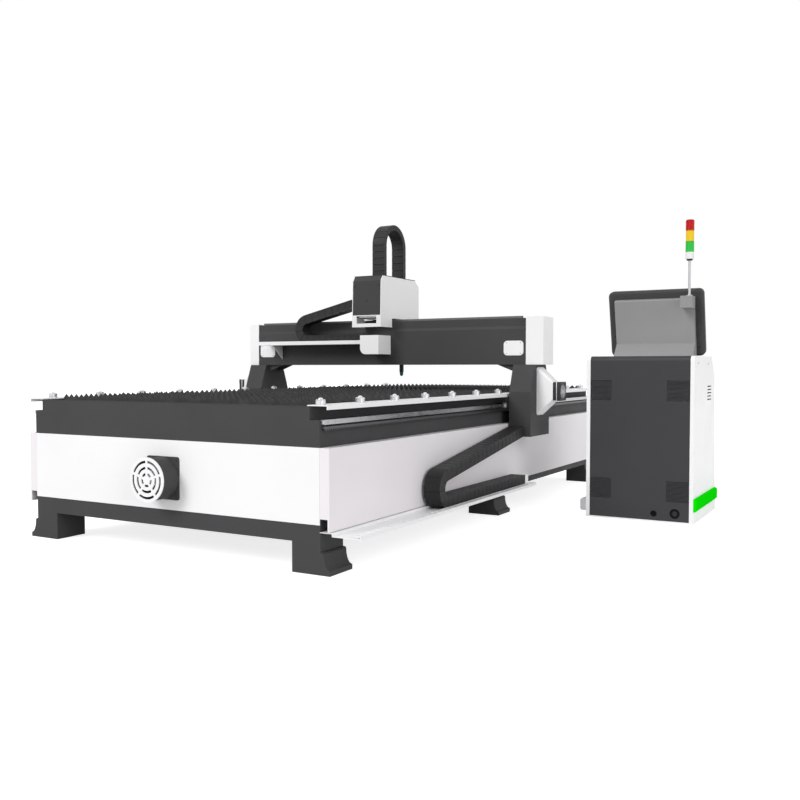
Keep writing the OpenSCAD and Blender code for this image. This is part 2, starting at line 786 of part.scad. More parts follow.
module chain_tray() at_base() color(paint_dark) {
    l = y_chain_end + 60;
    difference() {
        prism_y(0, l) {
            bar2(side_x, tray_z + 14, tray_x0, tray_z + 17);
            bar2(tray_x0, tray_z, tray_x0 + 3, tray_z + 17);
            bar2(tray_x0, tray_z, tray_x1, tray_z + 3);
            bar2(tray_x1 - 3, tray_z, tray_x1, tray_z + tray_wall);
            bar2(tray_x1 - tray_flange, tray_z + tray_wall - 3, tray_x1, tray_z + tray_wall);
        }
        for (y = [34 : 68 : l - 20])
            rod_z(tray_x1 - tray_flange / 2, y, tray_z + tray_wall - 5, tray_z + tray_wall + 5, 15);
    }
    for (y = tray_brackets) {
        block(side_x, tray_x1 - 20, y, y + 30, tray_z - 6, tray_z);
        prism_y(y, 6) polygon([[side_x, tray_z - 40], [side_x + 60, tray_z - 6], [side_x, tray_z - 6]]);
    }
    difference() {
        block(y_chain_x, y_chain_x + chain_w, y_chain_end - groove_w / 2, y_chain_end + 50,
            tray_z + 3, tray_z + 3 + chain_t);
        block(y_chain_x + 3, y_chain_x + chain_w - 3, y_chain_end, y_chain_end + 51,
            tray_z + 6, tray_z + 4 + chain_t);
    }
}

// ---------- exhaust ----------
module exhaust_duct() at_base() color(paint_dark) {
    difference() {
        union() {
            rod_y(0, -flange_t - duct_l, -flange_t, exhaust_z, duct_d / 2);
            prism_y(-flange_t, flange_t) translate([0, exhaust_z]) plate2(flange_w, flange_w, 14);
            rod_y(0, -1, tank_y + tank_t, exhaust_z, spigot_d / 2);
        }
        rod_y(0, -flange_t - duct_l - 1, -flange_t, exhaust_z, duct_d / 2 - duct_t);
        rod_y(0, -flange_t - 1, tank_y + tank_t + 1, exhaust_z, spigot_d / 2 - duct_t);
    }
}

// Three rings of arc slots left between a solid hub and straight spokes
module grille2() {
    r3 = grille_d / 2;
    spoke_w = grille_d * 0.055;
    difference() {
        circle(r = r3, $fn = 72);
        difference() {
            for (r = [r3 * 0.26, r3 * 0.53, r3 * 0.8]) difference() {
                circle(r = r + slot_w / 2, $fn = 72);
                circle(r = r - slot_w / 2, $fn = 72);
            }
            for (i = [0 : spoke_n - 1]) rotate(90 + i * 360 / spoke_n) translate([0, -spoke_w / 2])
                square([r3, spoke_w]);
        }
    }
}
module exhaust_grille() at_base() color(paint_white)
    prism_y(-flange_t - duct_l - grille_t, grille_t) translate([0, exhaust_z]) grille2();

module fan_motor() at_base() color(paint_dark) {
    r = spigot_d / 2 - duct_t;
    rod_y(0, 4, 64, exhaust_z, 42);
    rod_y(0, -22, 4, exhaust_z, 7);
    for (a = [90 : 120 : 330]) translate([0, 30, exhaust_z]) rotate([0, a, 0])
        translate([38, -2, -7]) cube([sqrt(r * r - 49) - 38.1, 4, 14]);
}
module fan_impeller() at_base() color(steel) {
    r = duct_d / 2 - duct_t - 4;
    difference() {
        union() {
            rod_y(0, -70, -12, exhaust_z, 34);
            intersection() {
                rod_y(0, -68, -16, exhaust_z, r);
                for (i = [0 : blade_n - 1]) translate([0, -42, exhaust_z]) rotate([0, i * 360 / blade_n, 0])
                    translate([20, 0, 0]) rotate([38, 0, 0]) translate([0, -2, -32]) cube([r, 4, 64]);
            }
        }
        rod_y(0, -30, -11, exhaust_z, 7 + shaft_gap);
    }
}

// ---------- gantry ----------
module crossbeam() at_base() color(paint_dark) {
    w = beam_wall;
    g = band_in;
    y0 = xbeam_y0;
    y1 = xbeam_y1;
    difference() {
        prism_x(-xbeam_x, 2 * xbeam_x) polygon([[y0, xbeam_z], [y1, xbeam_z], [y1, xbeam_top],
            [y0 + g, xbeam_top], [y0 + g, xbeam_top - band_h], [y0, xbeam_top - band_h - 20]]);
        block(-xbeam_x - 1, xbeam_x + 1, y0 + g + w, y1 - w, xbeam_z + w, xbeam_top - w);
    }
    both_sides() for (y = [y0 + 20, y1 - 20 - gusset_t]) prism_y(y, gusset_t)
        polygon([[col_x0, xbeam_z], [col_x0 - gusset_l, xbeam_z], [col_x0, xbeam_z - gusset_h]]);
}

module beam_cap(l) difference() {
    block(0, l, xbeam_y0 - 3, xbeam_y1 + 8, xbeam_z, xbeam_top + 7);
    block(-1, l - cap_t, xbeam_y0 + cap_t, xbeam_y1 + 8 - cap_t - 3, xbeam_z + cap_t, xbeam_top + 7 - cap_t);
}
module beam_caps() at_base() color(paint_white) {
    translate([xbeam_x, 0, 0]) beam_cap(cap_right);
    mirror([1, 0, 0]) translate([xbeam_x, 0, 0]) beam_cap(cap_left);
}

// Side view of a column, drawn in by c all round
module column2(c) polygon([
    [gantry_y - col_l / 2 + c, col_z + c], [gantry_y + col_l / 2 - c, col_z + c],
    [gantry_y + col_l / 2 - c, knee_z], [gantry_y + col_top_l / 2 - c, xbeam_z - c],
    [gantry_y - col_top_l / 2 + c, xbeam_z - c], [gantry_y - col_l / 2 + c, knee_z]]);
module columns() at_base() color(paint_dark) both_sides() {
    difference() {
        union() {
            prism_x(col_x0, col_w) column2(0);
            block(side_x + block_h, col_x0 + 1, gantry_y - 160, gantry_y + 160, rail_z - 18, rail_z + 24);
        }
        prism_x(col_x0 + beam_wall, col_w - 2 * beam_wall) column2(beam_wall);
        rod_x(col_x0 - 1, col_x0 + beam_wall + 1, gantry_y, y_pinion_z, shaft_d / 2 + shaft_gap);
        rod_x(col_x1 - beam_wall - 1, col_x1 + 1, gantry_y, motor_z, 7 + shaft_gap);
    }
}

module cover_plates() at_base() color(paint_white) both_sides()
    prism_y(xbeam_y0 - cover_plate_t, cover_plate_t)
        translate([xbeam_x - cover_plate_in, xbeam_z + cover_plate_up]) difference() {
            plate2(cover_plate_w, cover_plate_h, 26);
            for (sx = [-1, 1], sy = [-1, 1])
                translate([sx * (cover_plate_w / 2 - 21), sy * (cover_plate_h / 2 - 13)])
                    circle(r = 4, $fn = 24);
        }

module x_rails() at_base() color(steel) for (z = x_rail_zs)
    prism_x(-xbeam_x + 20, 2 * xbeam_x - 40)
        translate([xbeam_y1, z]) polygon(rail_points(x_rail_w, x_rail_h, 0));

module x_rack() at_base() color(steel) {
    p = PI * x_module;
    n0 = ceil((-xbeam_x + 30 - car_x) / p);
    n1 = floor((xbeam_x - 30 - car_x) / p);
    translate([car_x, x_rack_y + x_rack_w, xbeam_top]) linear_extrude(x_rack_h)
        mirror([0, 1, 0]) polygon(rack_points(x_module, n0, n1, x_rack_w));
}

// Tray for the cross chain, notched where it passes the cover plate
module x_chain_tray() at_base() color(paint_white) {
    difference() {
        prism_x(x_tray_x0, box_x0 - x_tray_x0) {
            bar2(x_tray_y, x_tray_z, xbeam_y0, x_tray_z + 3);
            bar2(x_tray_y, x_tray_z, x_tray_y + 3, x_tray_z + 28);
        }
        block(-xbeam_x, -xbeam_x + cover_plate_in + cover_plate_w / 2 + 1,
            xbeam_y0 - cover_plate_t - 0.2, xbeam_y0 + 1, x_tray_z - 1, x_tray_z + 4);
    }
    prism_x(-xbeam_x + cover_plate_in + cover_plate_w / 2 + 70, 5)
        polygon([[x_tray_y + 20, x_tray_z], [xbeam_y0, x_tray_z - tray_bracket_h], [xbeam_y0, x_tray_z]]);
}

// Face of the cable box, drawn in by c, with its lower left corner well rounded
module cable_box2(c) let (x0 = box_x0 + c, z0 = x_tray_z - cable_box_down - cable_box_h / 2 + c,
    r = cable_box_r - c) difference() {
    translate([x0, z0]) square([cable_box_w - 2 * c, cable_box_h - 2 * c]);
    difference() {
        translate([x0 - 1, z0 - 1]) square(r + 1);
        translate([x0 + r, z0 + r]) circle(r = r, $fn = 48);
    }
}
module cable_box() at_base() color(paint_white) {
    y0 = xbeam_y0 - x_tray_d - 30;
    prism_y(y0, xbeam_y0 - y0) difference() {
        cable_box2(0);
        cable_box2(4);
    }
    prism_y(y0, 4) cable_box2(0);
}

module y_blocks() at_base() color(steel) both_sides() for (s = [-1, 1])
    prism_y(gantry_y + s * block_y - block_l / 2, block_l) difference() {
        bar2(side_x + 4, rail_z - rail_w / 2 - 8, side_x + block_h, rail_z + 24);
        translate([side_x, rail_z]) polygon(rail_points(rail_w, rail_h, rail_gap));
    }

module cowl_form(c) hull() {
    translate([col_x1 - (c > 0 ? 1 : 0), gantry_y, motor_z]) rotate([90, 0, 90])
        linear_extrude(4) plate2(cowl_w - 2 * c, cowl_h - 2 * c, 22 - c);
    translate([col_x1 + cowl_l - (c > 0 ? 3 : 4), gantry_y, motor_z]) rotate([90, 0, 90])
        linear_extrude(4) plate2(motor_w - 2 * c, motor_h - 2 * c, 16 - c);
}
module motor_cowls() at_base() color(paint_white) both_sides() difference() {
    cowl_form(0);
    cowl_form(3);
}

module y_motors() at_base() color(paint_dark) both_sides() {
    x0 = col_x1 + cowl_l;
    difference() {
        prism_x(x0, motor_l) translate([gantry_y, motor_z]) plate2(motor_w, motor_h, 16);
        difference() {
            rod_x(x0 + motor_l - 8, x0 + motor_l + 1, gantry_y, motor_z, 44);
            rod_x(x0 + motor_l - 9, x0 + motor_l + 2, gantry_y, motor_z, 20);
            for (a = [0 : 45 : 135]) translate([x0 + motor_l - 9, gantry_y, motor_z]) rotate([a, 0, 0])
                translate([0, -46, -3]) cube([11, 92, 6]);
        }
    }
    prism_x(col_x1 + 6, cowl_l - 5.9) translate([gantry_y, motor_z]) plate2(motor_body, motor_body, 8);
}

// Belt seen along the shafts: two arcs joined by their outer tangents, grown by c
function belt_points(c) = let (
        d = motor_z - y_pinion_z,
        r0 = big_pulley_r + c,
        r1 = small_pulley_r + c,
        a = asin((big_pulley_r - small_pulley_r) / d)
    ) concat(
        [for (k = [0 : 12]) let (q = a + k * (180 - 2 * a) / 12) [r1 * cos(q), d + r1 * sin(q)]],
        [for (k = [0 : 20]) let (q = 180 - a + k * (180 + 2 * a) / 20) [r0 * cos(q), r0 * sin(q)]]);
module drive_belts() at_base() color([0.12, 0.12, 0.12]) both_sides()
    prism_x(belt_x - belt_w / 2, belt_w) translate([gantry_y, y_pinion_z]) difference() {
        polygon(belt_points(belt_t + 1.2));
        polygon(belt_points(1.2));
    }
module y_pinions() at_base() color(steel) both_sides() {
    prism_x(side_x + 2, rack_w - 3) translate([gantry_y, y_pinion_z]) rotate(90)
        polygon(gear_points(y_module, y_teeth));
    rod_x(side_x + rack_w - 2, belt_x + belt_w, gantry_y, y_pinion_z, shaft_d / 2);
    rod_x(belt_x - belt_w / 2, belt_x + belt_w / 2, gantry_y, y_pinion_z, big_pulley_r);
    for (x = [belt_x - belt_w / 2 - 3, belt_x + belt_w / 2 + 0.5])
        rod_x(x, x + 2.5, gantry_y, y_pinion_z, big_pulley_r + 4);
}
module motor_pulleys() at_base() color(steel) both_sides() {
    rod_x(belt_x - belt_w / 2 - 3, col_x1 + 5, gantry_y, motor_z, 7);
    rod_x(belt_x - belt_w / 2, belt_x + belt_w / 2, gantry_y, motor_z, small_pulley_r);
}

// ---------- drag chains ----------
module y_chain() at_base() color(chain_black) {
    z0 = tray_z + 3 + chain_t / 2;
    rise = atan2(y_chain_top - z0 - 2 * chain_r, gantry_y - col_l / 2 - y_bend_y);
    run = y_chain_end - y_bend_y;
    up = (gantry_y - col_l / 2 - 2 - y_bend_y) / cos(rise);
    translate([y_chain_x, y_chain_end, z0]) rotate([90, 0, 90]) linear_extrude(chain_w)
        chain2(run + PI * chain_r * (180 - rise) / 180 + up, run, chain_r, rise, chain_t);
}
module x_chain() at_base() color(chain_black) {
    z0 = x_tray_z + 3 + chain_t / 2;
    rise = atan2(x_chain_top - z0 - 2 * chain_r, car_x0 - x_bend_x);
    run = box_x0 - x_bend_x;
    up = (car_x0 - 2 - x_bend_x) / cos(rise);
    translate([box_x0, x_chain_y + x_chain_w, z0]) rotate([90, 0, 0]) linear_extrude(x_chain_w)
        chain2(run + PI * chain_r * (180 - rise) / 180 + up, run, chain_r, rise, chain_t);
}
module z_chain() at_base() color(chain_black) {
    z0 = car_top + 4;
    run = z_bend_z - z0;
    translate([car_x - chain_w / 2, z_chain_y, z0]) rotate([0, 90, 0]) linear_extrude(chain_w)
        chain2(run + PI * z_chain_r + z_bend_z - z_chain_end, run, z_chain_r, 0, z_chain_t);
}

// ---------- carriage ----------
module carriage_plate() at_base() color(steel) {
    x0 = car_x0 + car_t + 3;
    x1 = car_x1 - car_t - 3;
    difference() {
        union() {
            block(x0, x1, plate_y, plate_y + plate_t, plate_z0, plate_z1);
            block(x0, x1, car_y0 + 20, plate_y + 1, base_z, base_z + plate_t);
            block(car_x - 40, car_x + 40, plate_y, screw_y + 40, plate_z1 - 12, plate_z1);
            block(car_x - 25, car_x + 25, plate_y + 1, screw_y + 12, plate_z0, plate_z0 + 16);
        }
        rod_z(car_x, x_pinion_y, base_z - 1, base_z + plate_t + 1, 8 + shaft_gap);
        rod_z(car_x, screw_y, plate_z0 - 1, plate_z1 + 1, screw_d / 2 + screw_gap);
    }
}

// Side view of a side panel, with the tab that reaches down behind the cross beam
module shell_side2() polygon([
    [car_y0, car_low], [xbeam_y0 - 5, car_low], [xbeam_y0 - 5, car_side_z], [car_y1, car_side_z],
    [car_y1, car_top - 45], [car_y1 - 64, car_top], [car_y0 + 34, car_top], [car_y0 + 7, car_top - 37],
    [car_y0, car_mid]]);
module carriage_shell() at_base() color(paint_white) {
    for (x = [car_x0, car_x1 - car_t]) prism_x(x, car_t) shell_side2();
    difference() {
        block(car_x0 + 1, car_x1 - 1, car_y0, car_y0 + car_t, car_low, car_mid);
        block(car_x0 + 38, car_x1 - 38, car_y0 - 1, car_y0 + car_t + 1,
            car_low + 26, car_mid - car_slot_down);
    }
}

// Folded cover seen from the side: back, top, chamfer and front, drawn in by c
module cover_side2(c) polygon([
    [car_y0 + 2 + c, car_mid + 0.5], [car_y0 + 8 + c, car_top - 37], [car_y0 + 35 + c * 0.5, car_top - c],
    [car_y1 - 65 - c * 0.5, car_top - c], [car_y1 - c - 1, car_top - 46 - c * 0.4], [car_y1 - c - 1, car_side_z]]);
module carriage_cover() at_base() color(paint_dark) difference() {
    union() {
        difference() {
            prism_x(car_x0 + car_t, car_w - 2 * car_t) cover_side2(0);
            prism_x(car_x0, car_w) translate([0, -1]) cover_side2(4);
        }
        block(car_x0 - 2, car_x1 + 2, car_y0 + 34, car_y1 - 62, car_top, car_top + 4);
    }
    block(car_x - chain_w / 2 - 6, car_x + chain_w / 2 + 6, z_chain_y + 2 * z_chain_r - z_chain_t / 2 - 8,
        z_chain_y + 2 * z_chain_r + z_chain_t / 2 + 8, car_top - 20, car_top + 10);
    block(car_x0, car_x1, car_y0 + 12, car_y1 - 8, car_mid - 40, car_mid + 0.4);
}

module x_blocks() at_base() color(steel) for (z = x_rail_zs, s = [-1, 1])
    prism_x(car_x + s * 72 - 35, 70) difference() {
        bar2(xbeam_y1 + 4, z - 22, plate_y, z + 22);
        translate([xbeam_y1, z]) polygon(rail_points(x_rail_w, x_rail_h, rail_gap));
    }

module x_motor() at_base() color(paint_dark) {
    z0 = base_z + plate_t;
    translate([car_x, x_pinion_y, z0]) {
        linear_extrude(x_motor_h) plate2(x_motor_w, x_motor_w, 8);
        translate([0, 0, x_motor_h]) cylinder(h = 14, r = 26, $fn = 48);
    }
}
module x_pinion() at_base() color(steel) {
    translate([car_x, x_pinion_y, xbeam_top + 1.5]) rotate(-90) linear_extrude(x_rack_h - 2)
        polygon(gear_points(x_module, x_teeth));
    rod_z(car_x, x_pinion_y, xbeam_top + x_rack_h - 1, base_z + plate_t - 0.5, 8);
}

module z_rails() at_base() color(steel) for (s = [-1, 1])
    translate([car_x + s * z_rail_x, plate_y + plate_t, plate_z0 + 5]) linear_extrude(plate_z1 - plate_z0 - 25)
        rotate(90) polygon(rail_points(z_rail_w, z_rail_h, 0));
module z_motor() at_base() color(paint_dark) translate([car_x, screw_y, plate_z1]) {
    linear_extrude(90) plate2(58, 58, 6);
    translate([0, 0, 90]) cylinder(h = 12, r = 18, $fn = 48);
}
module z_screw() at_base() color(steel) rod_z(car_x, screw_y, plate_z0 + 2, plate_z1 - 0.5, screw_d / 2);

// ---------- lifter and torch ----------
module lifter_plate() at_base() color(steel) {
    y0 = lift_y;
    y1 = lift_y + lift_t;
    yc = z_chain_y + 2 * z_chain_r;
    block(car_x - lift_w / 2, car_x + lift_w / 2, y0, y1, lift_z, lift_z + lift_h);
    for (s = [-1, 1], z = [lift_z + 12, lift_z + lift_h - 62])
        translate([car_x + s * z_rail_x, plate_y + plate_t, z]) linear_extrude(50) difference() {
            translate([-20, 3]) square([40, 25.5]);
            rotate(90) polygon(rail_points(z_rail_w, z_rail_h, rail_gap));
        }
    difference() {
        block(car_x - 18, car_x + 18, plate_y + plate_t + 2, y0 + 1, lift_z + 95, lift_z + 125);
        rod_z(car_x, screw_y, lift_z + 94, lift_z + 126, screw_d / 2 + screw_gap);
    }
    block(car_x - 30, car_x + 30, y0, yc + 3, lift_z + lift_h - 6, lift_z + lift_h);
    block(car_x - 30, car_x + 30, yc - 3, yc + 3, lift_z + lift_h - 1, z_chain_end);
}
module torch_clamp() at_base() color(steel) {
    z0 = lift_z + 14;
    difference() {
        union() {
            block(car_x - 22, car_x + 22, lift_y + lift_t, torch_cy, z0, z0 + 40);
            rod_z(car_x, torch_cy, z0, z0 + 40, torch_d / 2 + 9);
        }
        rod_z(car_x, torch_cy, z0 - 1, z0 + 41, torch_d / 2);
        block(car_x - 1.5, car_x + 1.5, torch_cy, torch_cy + 40, z0 - 1, z0 + 41);
    }
}
module torch_body() at_base() color(paint_dark) {
    z0 = torch_z + nozzle_l;
    rod_z(car_x, torch_cy, z0, lift_z + 120, torch_d / 2);
    rod_z(car_x, torch_cy, lift_z + 120, lift_z + 150, torch_d / 2 - 6);
}
module torch_nozzle() at_base() color([0.0, 0.55, 0.6]) translate([car_x, torch_cy, torch_z]) difference() {
    union() {
        cylinder(h = nozzle_l * 0.5, r1 = torch_d * 0.22, r2 = torch_d * 0.42, $fn = 48);
        translate([0, 0, nozzle_l * 0.5]) cylinder(h = nozzle_l * 0.5, r = torch_d * 0.42, $fn = 48);
    }
    translate([0, 0, -1]) cylinder(h = nozzle_l * 0.6, r = 1.5, $fn = 24);
}

// ---------- console ----------
// Side view of the console, drawn in by c; the desk slopes and the front leans
module console2(c, z0) let (b = console_y) polygon(concat(
    [[b + c, z0]],
    [for (a = [180 : -15 : 90]) [b + 30 + (30 - c) * cos(a), console_h - 30 + (30 - c) * sin(a)]],
    [[b + top_d - c * tan(desk_a / 2), console_h - c],
        [b + desk_d - c * tan((90 - desk_a) / 2) - c * 0.2, desk_z - c * 0.2],
        [b + foot_d + (plinth_h - z0) * tan(front_a) - c / cos(front_a), z0]]));
// Strip of the console's skin that the back cover takes, grown by g
module back_zone2(g) difference() {
    bar2(console_y - 1, back_z - g, console_y + back_fold + g, console_h + 1);
    console2(sheet_t + g, -1);
}
module on_front() translate([0, console_y + desk_d, desk_z]) rotate([front_a, 0, 0]) children();
module on_desk(x) translate([x, console_y + (top_d + desk_d) / 2, (console_h + desk_z) / 2])
    rotate([-desk_a, 0, 0]) children();
estop_x = con_x1 - 110;
start_x = con_x1 - 190;
module console_body() at_base() color(paint_white) difference() {
    prism_x(con_x0, console_w) console2(0, 0);
    prism_x(con_x0 + sheet_t, console_w - 2 * sheet_t) console2(sheet_t, plinth_h);
    block(con_x0 + sheet_t, con_x1 - sheet_t, console_y + sheet_t, console_y + foot_d - sheet_t,
        -1, plinth_h - sheet_t);
    prism_x(con_x0 + back_in, console_w - 2 * back_in) back_zone2(back_gap);
    on_front() block(con_x0 + 45, con_x1 - 45, -30, 10, -front_l + 45, -45);
    for (i = [0 : side_slot_n - 1]) let (z = side_slot_z - i * side_slot_pitch)
        block(con_x1 - 10, con_x1 + 1, console_y + 429, console_y + 564, z, z + side_slot_h);
    on_desk(estop_x) translate([0, 0, -20]) cylinder(h = 40, r = 11.4, $fn = 48);
    on_desk(start_x) translate([0, 0, -20]) cylinder(h = 40, r = 11.4, $fn = 48);
}

module console_back() at_base() color(paint_dark) {
    x0 = con_x0 + back_in + back_gap;
    x1 = con_x1 - back_in - back_gap;
    difference() {
        prism_x(x0, x1 - x0) intersection() {
            console2(0, 0);
            back_zone2(0);
        }
        for (x = [x0 + 2, x1 - vent_w - 2], z = [console_h - vent_down, plinth_h + vent_up], i = [0 : 16])
            block(x, x + vent_w, console_y - 1, console_y + sheet_t + 1, z + i * vent_pitch,
                z + i * vent_pitch + vent_slot);
        rod_y(con_x0 + cable_hole_x, console_y - 1, console_y + sheet_t + 1, cable_hole_z, cable_hole_d / 2);
        rod_y(con_x0 + inlet_x, console_y - 1, console_y + sheet_t / 2, inlet_z, inlet_d / 2);
    }
}

// Bumper seen along the bed: its root on the v axis, chamfered, standing out to u
module bumper2(out, z) polygon([[0, z], [out - 9, z], [out, z + 10], [out, z + bumper_h - 10],
    [out - 9, z + bumper_h], [0, z + bumper_h]]);
module console_bumpers() at_base() {
    color([0.04, 0.75, 0.1]) translate([con_x1, 0, 0]) prism_y(console_y, foot_d - 45)
        bumper2(bumper_out, plinth_h);
    color([0.8, 0.8, 0.8]) translate([con_x0, 0, 0]) mirror([1, 0, 0]) prism_y(console_y, foot_d - 45)
        bumper2(bumper_left, plinth_h - 40);
}

module control_rack() at_base() color(steel) {
    y0 = console_y + 120;
    block(con_x0 + 60, con_x1 - 60, y0, y0 + 3, plinth_h, plinth_h + rack_up);
    block(con_x0 + 60, con_x1 - 60, y0, y0 + rack_d, plinth_h, plinth_h + 3);
    for (i = [0 : 3])
        block(con_x0 + 90 + i * 135, con_x0 + 190 + i * 135, y0 + 3, y0 + 153,
            plinth_h + 400, plinth_h + 610);
    block(con_x0 + 100, con_x0 + 420, y0 + 40, y0 + 260, plinth_h + 3, plinth_h + 250);
    block(con_x0 + 460, con_x0 + 600, y0 + 60, y0 + 220, plinth_h + 3, plinth_h + 180);
}

// The hood leans back; its frame is square to the screen, with z up the screen
hood_y = 520;
hood_up = 12;
function hood_at(y, z) = [
    console_y + hood_y + y * cos(hood_lean) - z * sin(hood_lean),
    console_h + hood_up + y * sin(hood_lean) + z * cos(hood_lean)];
module on_hood() translate([con_cx, console_y + hood_y, console_h + hood_up])
    rotate([hood_lean, 0, 0]) children();
module hood_plate(w, h, r, y, l) translate([0, y, hood_h / 2]) rotate([90, 0, 0])
    linear_extrude(l) plate2(w, h, r);
module hood_shell() at_base() color([0.6, 0.6, 0.6]) {
    y0 = 12 - hood_t - hood_gap;
    y1 = hood_box_y;
    z1 = hood_h - hood_box_in;
    prism_x(con_cx - hood_w / 2 + hood_box_in, hood_w - 2 * hood_box_in) polygon([
        hood_at(y0, z1), hood_at(y1 + 8, z1), hood_at(y1, z1 - 8), hood_at(y1, 100),
        [console_y + 340, console_h], [console_y + 480, console_h], hood_at(y0, 16)]);
    block(con_x1 - lamp_box_w * 2, con_x1 - lamp_box_w, console_y + 265, console_y + 375,
        console_h + lamp_box_up - lamp_box_h, console_h + lamp_box_up);
}
module hood_bezel() at_base() color(paint_dark) on_hood() difference() {
    hull() {
        hood_plate(hood_w, hood_h, 34, 12, hood_t - 14);
        hood_plate(hood_w - 28, hood_h - 28, 20, 13 - hood_t, 1);
    }
    hood_plate(hood_w - 90, hood_h - 90, 12, 13, 16);
}
module screen() at_base() color([0.05, 0.06, 0.08]) on_hood()
    hood_plate(hood_w - 92, hood_h - 92, 11, 8, 11);

module lamp_stem() at_base() color(paint_white) {
    rod_z(lamp_x, lamp_y, console_h + lamp_box_up, lamp_z, 8.5);
    rod_z(lamp_x, lamp_y, lamp_z - 1, lamp_z + 45, lamp_d / 2);
}
module lamp_lenses() at_base() {
    paints = [[0.1, 0.6, 0.2], [0.95, 0.75, 0.1], [0.85, 0.1, 0.1]];
    for (i = [0 : 2]) color(paints[i])
        rod_z(lamp_x, lamp_y, lamp_z + 45 + i * lamp_h, lamp_z + 45 + (i + 1) * lamp_h - 2,
            lamp_d / 2 - (i == 1 ? 1 : 0));
    color(paints[2])
        rod_z(lamp_x, lamp_y, lamp_z + 43 + 3 * lamp_h, lamp_z + 48 + 3 * lamp_h, lamp_d / 2 - 4);
}

module console_door() at_base() color(paint_white) on_front() difference() {
    block(con_x0 + 20, con_x1 - 20, door_gap, door_gap + door_t, -front_l + 20, -20);
    translate([con_x1 - 70, door_gap + door_t, -front_l / 2]) rotate([90, 0, 0]) linear_extrude(8)
        translate([0, 120]) plate2(34, 110, 12);
}
module estop_button() at_base() color([0.85, 0.08, 0.08]) on_desk(estop_x) {
    translate([0, 0, -14]) cylinder(h = 24, r = 11, $fn = 48);
    translate([0, 0, 10]) cylinder(h = 10, r1 = 20, r2 = 17, $fn = 48);
}
module start_button() at_base() color([0.1, 0.7, 0.2]) on_desk(start_x)
    translate([0, 0, -14]) cylinder(h = 21, r = 11, $fn = 48);

bed_frame();
tank();
slat_combs();
slats();
legs();
lower_frame();
end_panels();
side_covers();
ledges();
ball_cups();
transfer_balls();
y_rails();
y_racks();
chain_tray();
exhaust_duct();
exhaust_grille();
fan_motor();
fan_impeller();
crossbeam();
beam_caps();
columns();
cover_plates();
x_rails();
x_rack();
x_chain_tray();
cable_box();
y_blocks();
motor_cowls();
y_motors();
drive_belts();
y_pinions();
motor_pulleys();
y_chain();
x_chain();
z_chain();
carriage_plate();
carriage_shell();
carriage_cover();
x_blocks();
x_motor();
z_rails();
z_motor();
x_pinion();
z_screw();
lifter_plate();
torch_clamp();
torch_body();
torch_nozzle();
console_body();
console_back();
console_bumpers();
control_rack();
hood_shell();
hood_bezel();
screen();
lamp_stem();
lamp_lenses();
console_door();
estop_button();
start_button();
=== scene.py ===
# %% [markdown]
# # CNC plasma cutting table: the looks
# The frame holds every rigid piece of the machine at its real size, in metres, with Z up.
# This lesson dresses it: a camera, a plain studio, one material for each finish, and the small
# pieces that the construction model leaves out, such as chain links, screws and fan guards.

# %% Load the frame and note its size
import math

import bmesh
import bpy
from mathutils import Matrix, Vector


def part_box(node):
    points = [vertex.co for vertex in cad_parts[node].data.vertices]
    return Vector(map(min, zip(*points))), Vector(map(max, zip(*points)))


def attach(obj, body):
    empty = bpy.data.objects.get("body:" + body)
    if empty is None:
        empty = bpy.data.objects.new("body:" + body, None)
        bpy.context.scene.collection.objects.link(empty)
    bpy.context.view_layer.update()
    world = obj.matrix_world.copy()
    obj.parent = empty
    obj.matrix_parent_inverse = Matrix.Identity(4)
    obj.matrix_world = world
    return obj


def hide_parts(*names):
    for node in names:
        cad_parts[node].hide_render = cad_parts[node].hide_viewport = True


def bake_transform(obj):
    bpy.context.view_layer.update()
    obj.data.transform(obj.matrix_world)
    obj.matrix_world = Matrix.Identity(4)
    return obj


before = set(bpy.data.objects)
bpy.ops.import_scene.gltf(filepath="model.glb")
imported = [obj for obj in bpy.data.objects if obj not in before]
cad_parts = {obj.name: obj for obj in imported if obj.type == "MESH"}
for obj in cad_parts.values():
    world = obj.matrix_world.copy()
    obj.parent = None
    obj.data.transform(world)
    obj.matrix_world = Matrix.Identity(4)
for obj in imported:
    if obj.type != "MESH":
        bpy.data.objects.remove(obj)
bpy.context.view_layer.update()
bpy.ops.object.select_all(action="DESELECT")

# %% [markdown]
# ## Camera
# The machine is over four metres long, so its shape reads best from a corner, at about the
# height of its bed, with a normal lens. The place is measured from the near right corner of
# the bed: about two and a half metres to the right of it, and three and a half metres out
# from the exhaust end.

# %% Camera at the near right corner
EYE_HEIGHT = 1.000
LENS_MM = 40.17
LOOK_DOWN, LOOK_LEFT = math.radians(2.07), math.radians(29.48)
ASIDE, AWAY = 2.431, 3.518
bed_low, bed_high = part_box("bed_frame")
camera_data = bpy.data.cameras.new("camera")
camera_data.sensor_width = 36
camera_data.lens = LENS_MM
camera = bpy.data.objects.new("camera", camera_data)
bpy.context.scene.collection.objects.link(camera)
camera.location = (bed_high.x + ASIDE, bed_low.y - AWAY, EYE_HEIGHT)
camera.rotation_euler = (math.pi / 2 - LOOK_DOWN, 0, LOOK_LEFT)
bpy.context.scene.camera = camera
print("camera at", [round(c, 3) for c in camera.location])

# %% [markdown]
# ## Studio
# A pale floor and a white world stand in for a studio's curved backdrop. The world fills the
# shadows evenly. A large soft key lamp from the exhaust end gives the faces their difference:
# ends brightest, tops next, the long side a little darker. A weaker lamp from the console's
# side keeps that long side pale without brightening the ends.

# %% A material's node tree, and what the camera sees directly
def new_tree(name):
    """A material with an empty node tree and its output."""
    material = bpy.data.materials.new(name)
    material.use_nodes = True
    material.node_tree.nodes.clear()
    output = material.node_tree.nodes.new("ShaderNodeOutputMaterial")
    return material, material.node_tree, output


